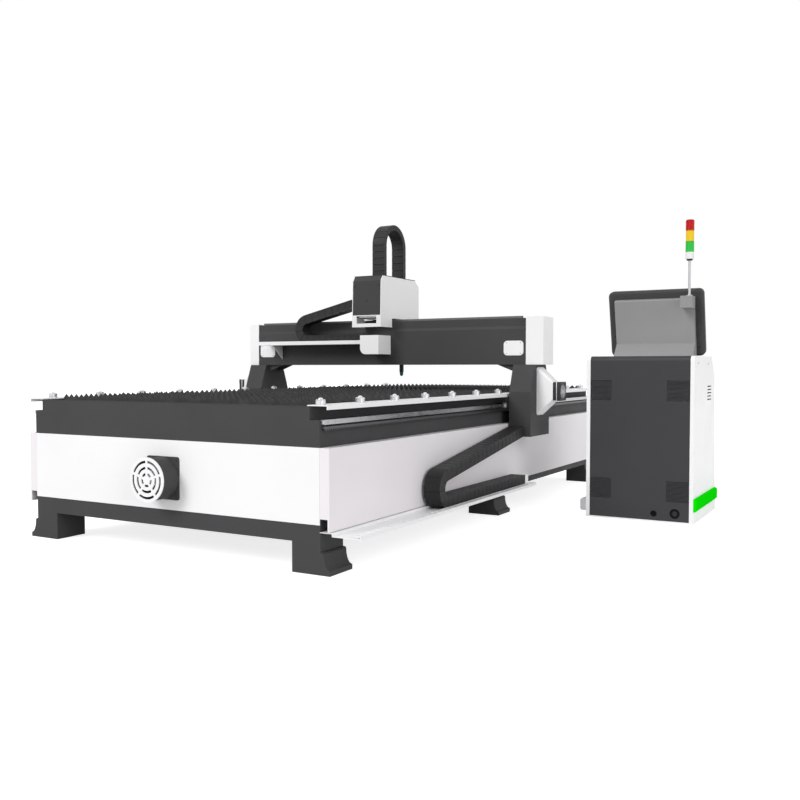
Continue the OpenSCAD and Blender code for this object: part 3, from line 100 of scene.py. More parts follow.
def seen_directly(tree):
    """1 where a ray comes from the camera or out of a mirror or glass, else 0."""
    path = tree.nodes.new("ShaderNodeLightPath")
    either = tree.nodes.new("ShaderNodeMath")
    either.operation = "MAXIMUM"
    tree.links.new(path.outputs["Is Camera Ray"], either.inputs[0])
    tree.links.new(path.outputs["Is Glossy Ray"], either.inputs[1])
    every = tree.nodes.new("ShaderNodeMath")
    every.operation = "MAXIMUM"
    tree.links.new(either.outputs[0], every.inputs[0])
    tree.links.new(path.outputs["Is Transmission Ray"], every.inputs[1])
    return every.outputs[0]


print("node tree helpers ready")


# %% World, lamps and floor
def set_world(fill):
    """White where it is seen, and a softer fill where it lights the machine."""
    world = bpy.data.worlds.new("studio")
    bpy.context.scene.world = world
    world.use_nodes = True
    tree = world.node_tree
    tree.nodes.clear()
    output = tree.nodes.new("ShaderNodeOutputWorld")
    mix = tree.nodes.new("ShaderNodeMixShader")
    for socket, strength in ((1, fill), (2, 1.0)):
        light = tree.nodes.new("ShaderNodeBackground")
        light.inputs["Color"].default_value = (1, 1, 1, 1)
        light.inputs["Strength"].default_value = strength
        tree.links.new(light.outputs[0], mix.inputs[socket])
    tree.links.new(seen_directly(tree), mix.inputs[0])
    tree.links.new(mix.outputs[0], output.inputs["Surface"])


def add_sun(name, toward, strength, softness):
    """A distant lamp that shines along the direction given."""
    data = bpy.data.lights.new(name, "SUN")
    data.energy = strength
    data.angle = math.radians(softness)
    lamp = bpy.data.objects.new(name, data)
    bpy.context.scene.collection.objects.link(lamp)
    lamp.rotation_euler = Vector(toward).to_track_quat("-Z", "Y").to_euler()


def add_floor(side):
    """A wide pale plane that looks white to the camera and keeps a faint soft shadow."""
    under_the_feet = -0.002
    bpy.ops.mesh.primitive_plane_add(size=side, location=(0, 0, under_the_feet))
    floor = bpy.context.object
    floor.name = "floor"
    material, tree, output = new_tree("floor_paint")
    matt = tree.nodes.new("ShaderNodeBsdfDiffuse")
    matt.inputs["Color"].default_value = (0.7, 0.7, 0.7, 1)
    glow = tree.nodes.new("ShaderNodeEmission")
    glow.inputs["Strength"].default_value = 0.80
    both = tree.nodes.new("ShaderNodeMixShader")
    shade = tree.nodes.new("ShaderNodeAddShader")
    tree.links.new(matt.outputs[0], shade.inputs[0])
    tree.links.new(glow.outputs[0], shade.inputs[1])
    tree.links.new(seen_directly(tree), both.inputs[0])
    tree.links.new(matt.outputs[0], both.inputs[1])
    tree.links.new(shade.outputs[0], both.inputs[2])
    tree.links.new(both.outputs[0], output.inputs["Surface"])
    floor.data.materials.append(material)
    bpy.ops.object.select_all(action="DESELECT")


bpy.context.scene.view_settings.view_transform = "Standard"
set_world(fill=0.58)
add_sun("key", toward=(0.35, 0.80, -0.55), strength=1.42, softness=25)
add_sun("side_fill", toward=(-0.9, 0.25, -0.35), strength=0.78, softness=40)
add_floor(side=80)
print("studio ready")

# %% [markdown]
# ## Finishes
# Nearly all of the machine is powder-coated sheet and box section. Powder coat is never one
# flat tone: it has a fine orange-peel bump and its gloss drifts over a panel. One function
# builds every coat from a colour and a gloss. Ground metal, moulded plastic and rubber, and
# hot-rolled slats have functions of their own, because what marks them is different: fine
# lines on steel, grain on plastic, dark scale on the slats. All patterns read Object
# coordinates, so they hold still.

# %% Small helpers for node trees
def linear(r, g, b):
    """A colour given as it looks on screen, 0 to 255, in the linear values that shaders use."""
    def one(c):
        c /= 255
        return c / 12.92 if c <= 0.04045 else ((c + 0.055) / 1.055) ** 2.4
    return (one(r), one(g), one(b), 1)


def scaled(colour, k):
    """The colour made darker or lighter by a factor."""
    return tuple(min(1, c * k) for c in colour[:3]) + (1,)


def noise(tree, scale, detail=3, stretch=(1, 1, 1)):
    """A noise value over Object coordinates, finer along the axes with a large stretch."""
    place = tree.nodes.new("ShaderNodeTexCoord")
    mapping = tree.nodes.new("ShaderNodeMapping")
    mapping.inputs["Scale"].default_value = stretch
    texture = tree.nodes.new("ShaderNodeTexNoise")
    texture.inputs["Scale"].default_value = scale
    texture.inputs["Detail"].default_value = detail
    tree.links.new(place.outputs["Object"], mapping.inputs["Vector"])
    tree.links.new(mapping.outputs["Vector"], texture.inputs["Vector"])
    return texture.outputs["Fac"]


def ramp(tree, value, stops):
    """Colours along a value: stops are (position, colour)."""
    node = tree.nodes.new("ShaderNodeValToRGB")
    elements = node.color_ramp.elements
    while len(elements) < len(stops):
        elements.new(0.5)
    for element, (position, colour) in zip(elements, stops):
        element.position = position
        element.color = colour
    tree.links.new(value, node.inputs["Fac"])
    return node.outputs["Color"]


NOISE_LOW, NOISE_HIGH = 0.3, 0.7


def drifting(tree, value, colour, drift):
    """The colour, a little darker where the noise is low and lighter where it is high."""
    darker, lighter = scaled(colour, 1 - drift), scaled(colour, 1 + drift)
    return ramp(tree, value, [(NOISE_LOW, darker), (NOISE_HIGH, lighter)])


def spread(tree, value, low, high):
    """The noise's usual range mapped onto low to high."""
    node = tree.nodes.new("ShaderNodeMapRange")
    node.inputs["From Min"].default_value = NOISE_LOW
    node.inputs["From Max"].default_value = NOISE_HIGH
    node.inputs["To Min"].default_value = low
    node.inputs["To Max"].default_value = high
    tree.links.new(value, node.inputs["Value"])
    return node.outputs["Result"]


def bump(tree, value, depth):
    """A bump of that depth in metres."""
    node = tree.nodes.new("ShaderNodeBump")
    node.inputs["Strength"].default_value = 1.0
    node.inputs["Distance"].default_value = depth
    tree.links.new(value, node.inputs["Height"])
    return node.outputs["Normal"]


def principled(tree, output, metallic=0.0, specular=0.5):
    """The surface shader that every finish ends in."""
    shader = tree.nodes.new("ShaderNodeBsdfPrincipled")
    shader.inputs["Metallic"].default_value = metallic
    shader.inputs["Specular IOR Level"].default_value = specular
    tree.links.new(shader.outputs["BSDF"], output.inputs["Surface"])
    return shader


print("pattern helpers ready")


# %% Powder coat, plastic, metal and rubber
def powder_coat(name, colour, gloss_low, gloss_high, drift=0.05, specular=0.22):
    """Baked coat on sheet and box section; the two gloss values are its roughness range."""
    material, tree, output = new_tree(name)
    shader = principled(tree, output, specular=specular)
    cloud = noise(tree, 2.2, detail=4)
    tree.links.new(drifting(tree, cloud, colour, drift), shader.inputs["Base Color"])
    tree.links.new(spread(tree, noise(tree, 7), gloss_low, gloss_high), shader.inputs["Roughness"])
    tree.links.new(bump(tree, noise(tree, 420, detail=2), 0.00012), shader.inputs["Normal"])
    return material


def moulded(name, colour, rough, grain=900, depth=0.00008, drift=0.06, specular=0.3):
    """Plastic or rubber with the fine grain of its mould."""
    material, tree, output = new_tree(name)
    shader = principled(tree, output, specular=specular)
    tree.links.new(drifting(tree, noise(tree, 30), colour, drift), shader.inputs["Base Color"])
    tree.links.new(spread(tree, noise(tree, 60), rough - 0.05, rough + 0.08), shader.inputs["Roughness"])
    tree.links.new(bump(tree, noise(tree, grain, detail=2), depth), shader.inputs["Normal"])
    return material


def metal(name, colour, rough, stretch, scale=60, drift=0.08, depth=0.00006):
    """Steel or aluminium with fine lines along the axis that has the small stretch."""
    material, tree, output = new_tree(name)
    shader = principled(tree, output, metallic=1.0)
    lines = noise(tree, scale, detail=5, stretch=stretch)
    tree.links.new(drifting(tree, lines, colour, drift), shader.inputs["Base Color"])
    tree.links.new(spread(tree, lines, rough - 0.06, rough + 0.10), shader.inputs["Roughness"])
    tree.links.new(bump(tree, lines, depth), shader.inputs["Normal"])
    return material


def hot_rolled(name, colour):
    """Slat steel: dark scale with lighter rubbed patches and small spatter."""
    material, tree, output = new_tree(name)
    shader = principled(tree, output, metallic=0.15, specular=0.3)
    stops = [(0.35, scaled(colour, 0.78)), (0.55, colour), (0.75, scaled(colour, 1.35))]
    tree.links.new(ramp(tree, noise(tree, 14, detail=6), stops), shader.inputs["Base Color"])
    tree.links.new(spread(tree, noise(tree, 50), 0.45, 0.7), shader.inputs["Roughness"])
    tree.links.new(bump(tree, noise(tree, 260, detail=4), 0.0004), shader.inputs["Normal"])
    return material


print("finish makers ready")

# %% [markdown]
# The whole list of finishes stands in one place, so that two coats can be compared side by
# side. Each colour is given as it looks on screen under an even white light, and each steel
# has its lines along the way that the piece was ground or drawn.

# %% Every finish of the machine
finish = {
    "dark_coat": powder_coat("dark_coat", linear(74, 74, 75), 0.42, 0.55, drift=0.06, specular=0.05),
    "white_coat": powder_coat("white_coat", linear(250, 250, 251), 0.30, 0.42, drift=0.015),
    "side_coat": powder_coat("side_coat", linear(243, 239, 242), 0.30, 0.42, drift=0.015),
    "hood_coat": powder_coat("hood_coat", linear(148, 148, 149), 0.38, 0.5, drift=0.03),
    "console_coat": powder_coat("console_coat", linear(58, 58, 60), 0.4, 0.52, drift=0.05),
    "rack_steel": metal("rack_steel", linear(96, 96, 98), 0.42, stretch=(12, 0.5, 12)),
    "slat_steel": hot_rolled("slat_steel", linear(66, 65, 65)),
    "rail_steel": metal("rail_steel", linear(176, 176, 178), 0.28, stretch=(12, 0.25, 12)),
    "cross_steel": metal("cross_steel", linear(176, 176, 178), 0.28, stretch=(0.25, 12, 12)),
    "turned_steel": metal("turned_steel", linear(170, 170, 172), 0.30, stretch=(4, 1, 4)),
    "zinc": metal("zinc", linear(200, 201, 204), 0.34, stretch=(1, 1, 1), scale=140, drift=0.12),
    "chrome": metal("chrome", linear(232, 232, 235), 0.10, stretch=(1, 1, 1), scale=20, drift=0.03,
                    depth=0.00001),
    "aluminium": metal("aluminium", linear(190, 192, 195), 0.34, stretch=(1, 8, 1)),
    "chain_plastic": moulded("chain_plastic", linear(44, 44, 45), 0.50, specular=0.22),
    "motor_black": moulded("motor_black", linear(42, 42, 44), 0.42, grain=500),
    "rubber": moulded("rubber", linear(40, 40, 40), 0.75, grain=1200),
    # near-black rubber, darker than plain rubber: partly painted shade for the dark inside of the
    # console's open holes
    "rubber_and_hole_shade": moulded("rubber_and_hole_shade", linear(16, 16, 16), 0.8, grain=1200, specular=0.1),
    "torch_plastic": moulded("torch_plastic", linear(45, 46, 48), 0.40),
    "teal_plastic": moulded("teal_plastic", linear(20, 120, 135), 0.32),
    "screen_glass": moulded("screen_glass", linear(14, 15, 18), 0.12, depth=0.00001),
    "red_plastic": moulded("red_plastic", linear(205, 22, 26), 0.30, drift=0.04),
    "green_plastic": moulded("green_plastic", linear(30, 165, 60), 0.30, drift=0.04),
}
print("finishes:", ", ".join(finish))

# %% [markdown]
# ## Signal lamp lenses
# The tower lamp has three ribbed lenses stacked on one stem. They share one node, so the
# material chooses the colour by height: the ramp is constant between its stops, and the
# stops come from the node's own box.

# %% Lens material that changes colour by height
def lens_plastic(name, node, colours):
    """Clear coloured plastic with fine ribs, its colours from the bottom up."""
    low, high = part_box(node)
    material, tree, output = new_tree(name)
    shader = principled(tree, output, specular=0.2)
    shader.inputs["Roughness"].default_value = 0.28
    place = tree.nodes.new("ShaderNodeTexCoord")
    split = tree.nodes.new("ShaderNodeSeparateXYZ")
    height = tree.nodes.new("ShaderNodeMapRange")
    height.inputs["From Min"].default_value = low.z
    height.inputs["From Max"].default_value = high.z
    tree.links.new(place.outputs["Object"], split.inputs[0])
    tree.links.new(split.outputs["Z"], height.inputs["Value"])
    zones = tree.nodes.new("ShaderNodeValToRGB")
    zones.color_ramp.interpolation = "CONSTANT"
    elements = zones.color_ramp.elements
    while len(elements) < len(colours):
        elements.new(0.5)
    for i, (element, colour) in enumerate(zip(elements, colours)):
        element.position = i / len(colours)
        element.color = colour
    tree.links.new(height.outputs["Result"], zones.inputs["Fac"])
    tree.links.new(zones.outputs["Color"], shader.inputs["Base Color"])
    ribs = tree.nodes.new("ShaderNodeTexWave")
    ribs.bands_direction = "Z"
    ribs.inputs["Scale"].default_value = 60
    tree.links.new(place.outputs["Object"], ribs.inputs["Vector"])
    tree.links.new(bump(tree, ribs.outputs["Fac"], 0.0008), shader.inputs["Normal"])
    return material


finish["lamp_lenses"] = lens_plastic("lamp_lens", "lamp_lenses", [
    linear(48, 200, 75), linear(250, 210, 40), linear(196, 18, 22)])
print("lens material ready")

# %% [markdown]
# ## Dressing the frame
# A table says which finish each piece of the construction model wears. A piece keeps its mesh
# as it is: only its one material slot is filled.

# %% Give every node its finish
WEARS = {
    "dark_coat": ["bed_frame", "tank", "slat_combs", "legs", "lower_frame", "exhaust_duct",
                  "control_rack", "crossbeam", "columns", "carriage_cover", "hood_bezel"],
    "white_coat": ["end_panels", "ledges", "chain_tray", "exhaust_grille", "beam_caps",
                   "cover_plates", "x_chain_tray", "cable_box", "motor_cowls", "carriage_shell",
                   "console_body", "console_door"],
    "side_coat": ["side_covers"],
    "hood_coat": ["hood_shell"],
    "console_coat": ["console_back"],
    "slat_steel": ["slats"],
    "rail_steel": ["y_rails"],
    "rack_steel": ["y_racks", "x_rack"],
    "cross_steel": ["x_rails"],
    "turned_steel": ["y_pinions", "motor_pulleys", "x_pinion", "z_screw", "z_rails"],
    "zinc": ["ball_cups", "y_blocks", "x_blocks", "torch_clamp"],
    "chrome": ["transfer_balls"],
    "aluminium": ["carriage_plate", "lifter_plate", "fan_impeller"],
    "chain_plastic": ["y_chain", "x_chain", "z_chain"],
    "motor_black": ["fan_motor", "y_motors", "x_motor", "z_motor"],
    "rubber": ["drive_belts"],
    "torch_plastic": ["torch_body"],
    "teal_plastic": ["torch_nozzle"],
    "screen_glass": ["screen"],
    "red_plastic": ["estop_button"],
    "green_plastic": ["start_button"],
    "lamp_lenses": ["lamp_lenses"],
}


def dress(material, node):
    """Fill a node's one slot."""
    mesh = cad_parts[node].data
    mesh.materials.clear()
    mesh.materials.append(material)


for material_name, nodes in WEARS.items():
    for node in nodes:
        dress(finish[material_name], node)
print("finishes given to", sum(len(nodes) for nodes in WEARS.values()), "nodes")

# %% [markdown]
# ## Pieces with two coats
# Two nodes carry two colours each: the bumpers, one green and one pale grey, and the lamp's
# stem, bright tube below and white cap above. One material each picks its colour by place.

# %% A material with two colours
def two_coats(name, axis, limit, below, above, metal_below=False):
    """One colour up to a place on an axis and another beyond it; the first can be bare metal."""
    material, tree, output = new_tree(name)
    shader = principled(tree, output, specular=0.0)
    shader.inputs["Roughness"].default_value = 0.45
    place = tree.nodes.new("ShaderNodeTexCoord")
    split = tree.nodes.new("ShaderNodeSeparateXYZ")
    step = tree.nodes.new("ShaderNodeMath")
    step.operation = "GREATER_THAN"
    step.inputs[1].default_value = limit
    tree.links.new(place.outputs["Object"], split.inputs[0])
    tree.links.new(split.outputs[axis], step.inputs[0])
    if metal_below:
        bare_steel = tree.nodes.new("ShaderNodeMath")
        bare_steel.operation = "SUBTRACT"
        bare_steel.inputs[0].default_value = 1.0
        tree.links.new(step.outputs[0], bare_steel.inputs[1])
        tree.links.new(bare_steel.outputs[0], shader.inputs["Metallic"])
    cloud = noise(tree, 40)
    pair = tree.nodes.new("ShaderNodeMix")
    pair.data_type = "RGBA"
    tree.links.new(step.outputs[0], pair.inputs["Factor"])
    tree.links.new(drifting(tree, cloud, below, 0.05), pair.inputs["A"])
    tree.links.new(drifting(tree, cloud, above, 0.03), pair.inputs["B"])
    tree.links.new(pair.outputs["Result"], shader.inputs["Base Color"])
    tree.links.new(bump(tree, noise(tree, 800, detail=2), 0.00008), shader.inputs["Normal"])
    return material


bumper_low, bumper_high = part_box("console_bumpers")
between = (bumper_low.x + bumper_high.x) / 2
dress(two_coats("bumper_coats", "X", between, linear(205, 205, 207), linear(14, 232, 8)),
      "console_bumpers")
CAP_HEIGHT = 0.045
stem_low, stem_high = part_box("lamp_stem")
cap_z = stem_high.z - CAP_HEIGHT
dress(two_coats("stem_coats", "Z", cap_z, linear(178, 178, 181), linear(244, 244, 244),
                metal_below=True), "lamp_stem")
print("two-coat pieces dressed")

# %% [markdown]
# ## Modelling by hand, in code
# Every new piece starts as a primitive at its real size, is shaped in edit mode, and is
# finished with applied modifiers. A few small helpers keep the cells short. The first ones
# select an object by itself and add a block or a rod, with their place in the mesh.

# %% Selecting, and adding a primitive
X, Y, Z = Vector((1, 0, 0)), Vector((0, 1, 0)), Vector((0, 0, 1))


def alone(*objects):
    """Select only these, with the first one active."""
    bpy.ops.object.select_all(action="DESELECT")
    for obj in objects:
        obj.select_set(True)
    bpy.context.view_layer.objects.active = objects[0]


def block(name, low, high):
    """A box between two corners, its place and size in its mesh."""
    low, high = Vector(low), Vector(high)
    bpy.ops.object.select_all(action="DESELECT")
    bpy.ops.mesh.primitive_cube_add(size=1, location=(low + high) / 2)
    obj = bpy.context.object
    obj.name = name
    obj.scale = high - low
    bpy.ops.object.transform_apply(location=True, rotation=True, scale=True)
    return obj


def disc(name, centre, axis, radius, height, sides=24):
    """A short rod about a centre, along an axis."""
    bpy.ops.object.select_all(action="DESELECT")
    turn = Vector(axis).to_track_quat("Z", "Y").to_euler()
    bpy.ops.mesh.primitive_cylinder_add(vertices=sides, radius=radius, depth=height,
                                        location=centre, rotation=turn)
    obj = bpy.context.object
    obj.name = name
    bpy.ops.object.transform_apply(location=True, rotation=True, scale=True)
    return obj


print("blocks and rods ready")

# %% [markdown]
# Faces are picked by a test, such as the way they face, so that an inset or an extrusion
# falls where it should however the block was sized. Edges are rounded last, with a Bevel
# modifier that takes only the sharp ones.

# %% Picking faces and rounding edges
def pick(obj, test):
    """Enter edit mode and select the faces that pass the test; say how many."""
    if obj.mode != "EDIT":
        alone(obj)
        bpy.ops.object.mode_set(mode="EDIT")
    bpy.context.tool_settings.mesh_select_mode = (False, False, True)
    bpy.ops.mesh.select_all(action="DESELECT")
    mesh = bmesh.from_edit_mesh(obj.data)
    mesh.faces.ensure_lookup_table()
    count = 0
    for face in mesh.faces:
        if test(face):
            face.select_set(True)
            count += 1
    mesh.select_flush_mode()
    bmesh.update_edit_mesh(obj.data)
    return count


def facing(direction, limit=0.9):
    """A test for faces whose normal points that way."""
    direction = Vector(direction)
    return lambda face: face.normal.dot(direction) > limit


def done(obj):
    """Leave edit mode."""
    if obj.mode == "EDIT":
        bpy.ops.object.mode_set(mode="OBJECT")
    return obj


def rounded(obj, width, segments=2, angle=60):
    """Round the edges sharper than an angle with a Bevel modifier, applied."""
    alone(obj)
    modifier = obj.modifiers.new("round", "BEVEL")
    modifier.width = width
    modifier.segments = segments
    modifier.limit_method = "ANGLE"
    modifier.angle_limit = math.radians(angle)
    bpy.ops.object.modifier_apply(modifier=modifier.name)
    return obj


print("picking and rounding ready")

# %% [markdown]
# A finished piece is smoothed, coated, and set to ride on its body. Small things that repeat,
# such as screws, are modelled once, and copies with their own meshes are joined into one
# piece for each panel.


def joined(name, parts):
    """Join parts into one object, and name it and its mesh."""
    alone(*parts)
    if len(parts) > 1:
        bpy.ops.object.join()
    obj = bpy.context.object
    obj.name = name
    obj.data.name = name
    return obj


def finished(obj, coat, body=None):
    """Smooth it, coat it, and let it ride."""
    alone(obj)
    bpy.ops.object.shade_smooth_by_angle(angle=math.radians(32))
    obj.data.materials.clear()
    obj.data.materials.append(finish[coat])
    if body:
        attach(obj, body)
    return obj


def stamped(name, shape, places):
    """One piece from copies of a shape; each place is (point, direction of its top)."""
    copies = []
    for point, direction in places:
        copy = shape.copy()
        copy.data = shape.data.copy()
        bpy.context.scene.collection.objects.link(copy)
        turn = Vector(direction).to_track_quat("Z", "Y").to_matrix().to_4x4()
        copy.data.transform(Matrix.Translation(point) @ turn)
        copies.append(copy)
    return joined(name, copies)


def remove(obj):
    """Take away a shape that was only copied from."""
    bpy.data.objects.remove(obj, do_unlink=True)


print("joining and finishing ready")

# %% [markdown]
# ## Drag chains
# A drag chain is a row of moulded links, each a short box with recessed side plates and a
# snap-on cover, hinged on discs at its ends. The construction model has only the outline.
# Here one link is modelled, a row of them is made with an Array modifier, and the row is laid
# along the chain's path: a straight run, a bend and a run that rises to the moving end.

# %% One link
def chain_link(name, pitch, width, thick, gap=0.0014):
    """A link from 0 to its pitch along X, its width along Y and its thickness along Z."""
    shell = block(name, (gap / 2, -width / 2, -thick / 2), (pitch - gap / 2, width / 2, thick / 2))
    pick(shell, facing(Y))
    for x in (pitch / 3, pitch * 2 / 3):
        bpy.ops.mesh.select_all(action="SELECT")
        bpy.ops.mesh.bisect(plane_co=(x, 0, 0), plane_no=(1, 0, 0))
    for side in (1, -1):
        pick(shell, facing((0, side, 0)))
        bpy.ops.mesh.inset(thickness=0.006, depth=-0.0012)
        pick(shell, facing((0, 0, side)))
        bpy.ops.mesh.inset(thickness=0.008, depth=-0.0012)
    done(shell)
    rounded(shell, 0.0016, segments=1)
    wall = 0.005
    tongue = block(name + "_tongue", (-gap, wall - width / 2, wall - thick / 2),
                   (gap, width / 2 - wall, thick / 2 - wall))
    hinge = disc(name + "_hinge", (pitch / 2, 0, 0), Y, thick * 0.26, width - 0.0012, sides=16)
    return joined(name, [shell, tongue, hinge])


def chain_row(name, link, count, pitch, stretch):
    """A straight row of links, each stretched a little so that the row has a whole number."""
    row = link.copy()
    row.data = link.data.copy()
    row.name = name
    bpy.context.scene.collection.objects.link(row)
    alone(row)
    array = row.modifiers.new("row", "ARRAY")
    array.count = count
    array.use_relative_offset = False
    array.use_constant_offset = True
    array.constant_offset_displace = (pitch, 0, 0)
    bpy.ops.object.modifier_apply(modifier=array.name)
    row.data.transform(Matrix.Diagonal((stretch, 1, 1, 1)))
    return row


print("link maker ready")

# %% [markdown]
# ### Laying a chain along its path
# The path is flat: back from the fixed end, round half a turn, and up a straight slope to the
# moving end. Every point of a straight row is carried onto it, so the links turn with the
# bend as real ones do.

# %% The path of a chain
def chain_point(s, run, radius, rise):
    """Place and heading at length s: back along -u, round the bend, then up along +u."""
    arc = radius * (math.pi - rise)
    if s < run:
        return -s, 0, math.pi
    if s < run + arc:
        turn = (s - run) / radius
        return -run - radius * math.sin(turn), radius - radius * math.cos(turn), math.pi - turn
    q = s - run - arc
    return (-run - radius * math.sin(rise) + q * math.cos(rise),
            radius + radius * math.cos(rise) + q * math.sin(rise), rise)


def lay(row, begin, path, origin, u, v, w):
    """Move every point of a straight row onto the path; u, v and w are the path's own axes."""
    for vertex in row.data.vertices:
        x, y, z = vertex.co
        across, up, heading = chain_point(begin + x, *path)
        across -= z * math.sin(heading)
        up += z * math.cos(heading)
        vertex.co = origin + u * across + v * up + w * y
    return row


print("chain path ready")

# %% [markdown]
# ### Blends for a chain's joint
# When the moving end travels, a real chain rolls from one run onto the other, and its bend
# moves half as far. Here blends are worked out in which the bend takes half of the motion and
# each run shares out the other half along its length; they are not given to the links, which
# stay where they are laid. A single blend starts and ends slowly, which would squeeze the links
# in the middle of a run, so each run is cut in four and each piece has a blend of its own.

# %% Blends along a chain
CUTS = 4          # pieces in each run
SLOPE = 0.57      # how much weight a run gains along its length, if it went on evenly
FAR = 500         # metres: a blend as long as this holds half all along the bend


def eased(weight):
    """How far along a smooth blend the weight is reached."""
    return 0.5 - math.sin(math.asin(1 - 2 * weight) / 3)


def blend_span(a, b, weight_a, weight_b):
    """Where a blend has to start and end to give these weights at points a and b."""
    low, high = eased(weight_a), eased(weight_b)
    step = (b - a) / (high - low)
    return a - step * low, b + step * (1 - high)


def drag_chain(node, link, pitch, path, top_run, origin, u, v, w):
    """Rows of links along a path, with blends from the fixed body to the moving one worked out but not
    used.
    """
    run, radius, rise = path
    bend = origin - u * run
    along = u * math.cos(rise) + v * math.sin(rise)
    top = bend - u * radius * math.sin(rise) + v * radius * (1 + math.cos(rise))
    # each run has a rule for its weight at a fraction f of it: half at the bend, 0 or 1 at the end
    parts = (("fixed", run, origin, bend, lambda f: f and 0.5 - SLOPE * (1 - f)),
             ("bend", radius * (math.pi - rise), None, None, None),
             ("moving", top_run, top, top + along * top_run,
              lambda f: 1 if f == 1 else 0.5 + SLOPE * f))
    begin = 0
    for part, length, first, last, weight in parts:
        count = max(1, round(length / pitch))
        cuts = [round(count * cut / CUTS) for cut in range(CUTS + 1)] if weight else [0, count]
        for cut, stop in zip(cuts, cuts[1:]):
            name = "%s_%s_%d" % (node, part, cut)
            row = chain_row(name, link, stop - cut, pitch, length / count / pitch)
            lay(row, begin + length * cut / count, path, origin, u, v, w)
            alone(row)
            bpy.ops.object.mode_set(mode="EDIT")
            bpy.ops.mesh.select_all(action="SELECT")
            bpy.ops.mesh.normals_make_consistent(inside=False)
            bpy.ops.object.mode_set(mode="OBJECT")
            finished(row, "chain_plastic")
            start, end = bend - along * FAR, bend + along * FAR
            if weight:
                f, g = cut / count, stop / count
                start, end = blend_span(first.lerp(last, f), first.lerp(last, g), weight(f), weight(g))
            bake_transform(row)
            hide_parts(node)
        begin += length
        print(node, part, count, "links")


print("blends ready")

# %% [markdown]
# ### The three chains
# The long chain runs in its tray beside the bed and rises to the right column. The cross
# chain does the same on the beam, up to the carriage. Both have the same pitch, thickness and
# bend. The lift chain stands up from the carriage in a wide loop and comes down to the
# torch's lifter.

# %% The long chain beside the bed
PITCH, RADIUS, THICK = 0.060, 0.080, 0.070
OVERHANG, CLEARANCE = 0.004, 0.002
MEETS_COLUMN = 0.038
low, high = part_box("y_chain")
columns_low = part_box("columns")[0]
fixed_y = high.y + OVERHANG
bend_y = low.y + RADIUS + THICK / 2
run_z = low.z + THICK / 2
rise = math.atan2(columns_low.z + MEETS_COLUMN - run_z - 2 * RADIUS, columns_low.y - bend_y)
top_run = (columns_low.y - CLEARANCE - bend_y) / math.cos(rise)
link = chain_link("long_link", PITCH, high.x - low.x, THICK)
drag_chain("y_chain", link, PITCH, (fixed_y - bend_y, RADIUS, rise), top_run,
           Vector(((low.x + high.x) / 2, fixed_y, run_z)), Y, Z, X)
remove(link)

# %% The chain across the beam
MEETS_CARRIAGE = 0.197
low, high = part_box("x_chain")
shell_low, shell_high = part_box("carriage_shell")
fixed_x = high.x + OVERHANG
bend_x = low.x + RADIUS + THICK / 2
run_z = low.z + THICK / 2
rise = math.atan2(shell_high.z - MEETS_CARRIAGE - run_z - 2 * RADIUS, shell_low.x - bend_x)
top_run = (shell_low.x - CLEARANCE - bend_x) / math.cos(rise)
link = chain_link("cross_link", PITCH, high.y - low.y, THICK)
drag_chain("x_chain", link, PITCH, (fixed_x - bend_x, RADIUS, rise), top_run,
           Vector((fixed_x, (low.y + high.y) / 2, run_z)), X, Z, -Y)
remove(link)

# %% The chain over the carriage
LIFT_PITCH, LIFT_RADIUS, LIFT_THICK = 0.052, 0.147, 0.040
low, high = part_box("z_chain")
fixed_z = shell_high.z + OVERHANG
bend_z = high.z - LIFT_RADIUS - LIFT_THICK / 2
link = chain_link("lift_link", LIFT_PITCH, high.x - low.x, LIFT_THICK)
drag_chain("z_chain", link, LIFT_PITCH, (bend_z - fixed_z, LIFT_RADIUS, 0), bend_z - low.z + OVERHANG,
           Vector(((low.x + high.x) / 2, low.y + LIFT_THICK / 2, fixed_z)), -Z, Y, X)
remove(link)

# %% [markdown]
# ## Screws
# Covers, flanges and rails are held by small socket screws. They are a few millimetres wide,
# so each needs only a few dozen faces: a short rod, its top face inset twice to leave a rim
# and a socket. One is modelled for each size and stamped where the panels need them.

# %% Screw shapes
def socket_screw(name, radius, height):
    """A round head at the origin that points along Z, with a narrow socket in its top."""
    head = disc(name, (0, 0, height / 2), Z, radius, height, sides=16)
    rounded(head, radius * 0.14, segments=1)
    pick(head, lambda face: face.normal.z > 0.99 and face.calc_center_median().z > height * 0.9)
    bpy.ops.mesh.inset(thickness=radius * 0.42)
    bpy.ops.mesh.inset(thickness=radius * 0.02, depth=-height * 0.6)
    return done(head)


def spaced(first, last, count):
    """Even places from first to last."""
    return [first + (last - first) * i / (count - 1) for i in range(count)]


small_screw = socket_screw("small_screw", 0.0048, 0.0028)
flange_screw = socket_screw("flange_screw", 0.0065, 0.0045)
rail_screw = socket_screw("rail_screw", 0.0050, 0.0012)
print("screw faces:", len(small_screw.data.polygons))

# %% [markdown]
# ### Where the screws go
# Each panel's screws are placed from the panel's own box, and their heads point the way that
# the panel faces. The copies for one panel are one piece, which rides on that panel's body.

# %% Screws on the beam's cover plates and the exhaust flange
PLATE_WIDTH = 0.146
PLATE_DX, PLATE_DZ = 0.052, 0.038
BOTH = (-1, 1)
plate_low, plate_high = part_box("cover_plates")
plate_mid = (plate_low.z + plate_high.z) / 2
places = [((left + PLATE_WIDTH / 2 + sx * PLATE_DX, plate_low.y, plate_mid + sz * PLATE_DZ), -Y)
          for left in (plate_low.x, plate_high.x - PLATE_WIDTH) for sx in BOTH for sz in BOTH]
finished(stamped("cover_plate_screws", small_screw, places), "zinc", "gantry")

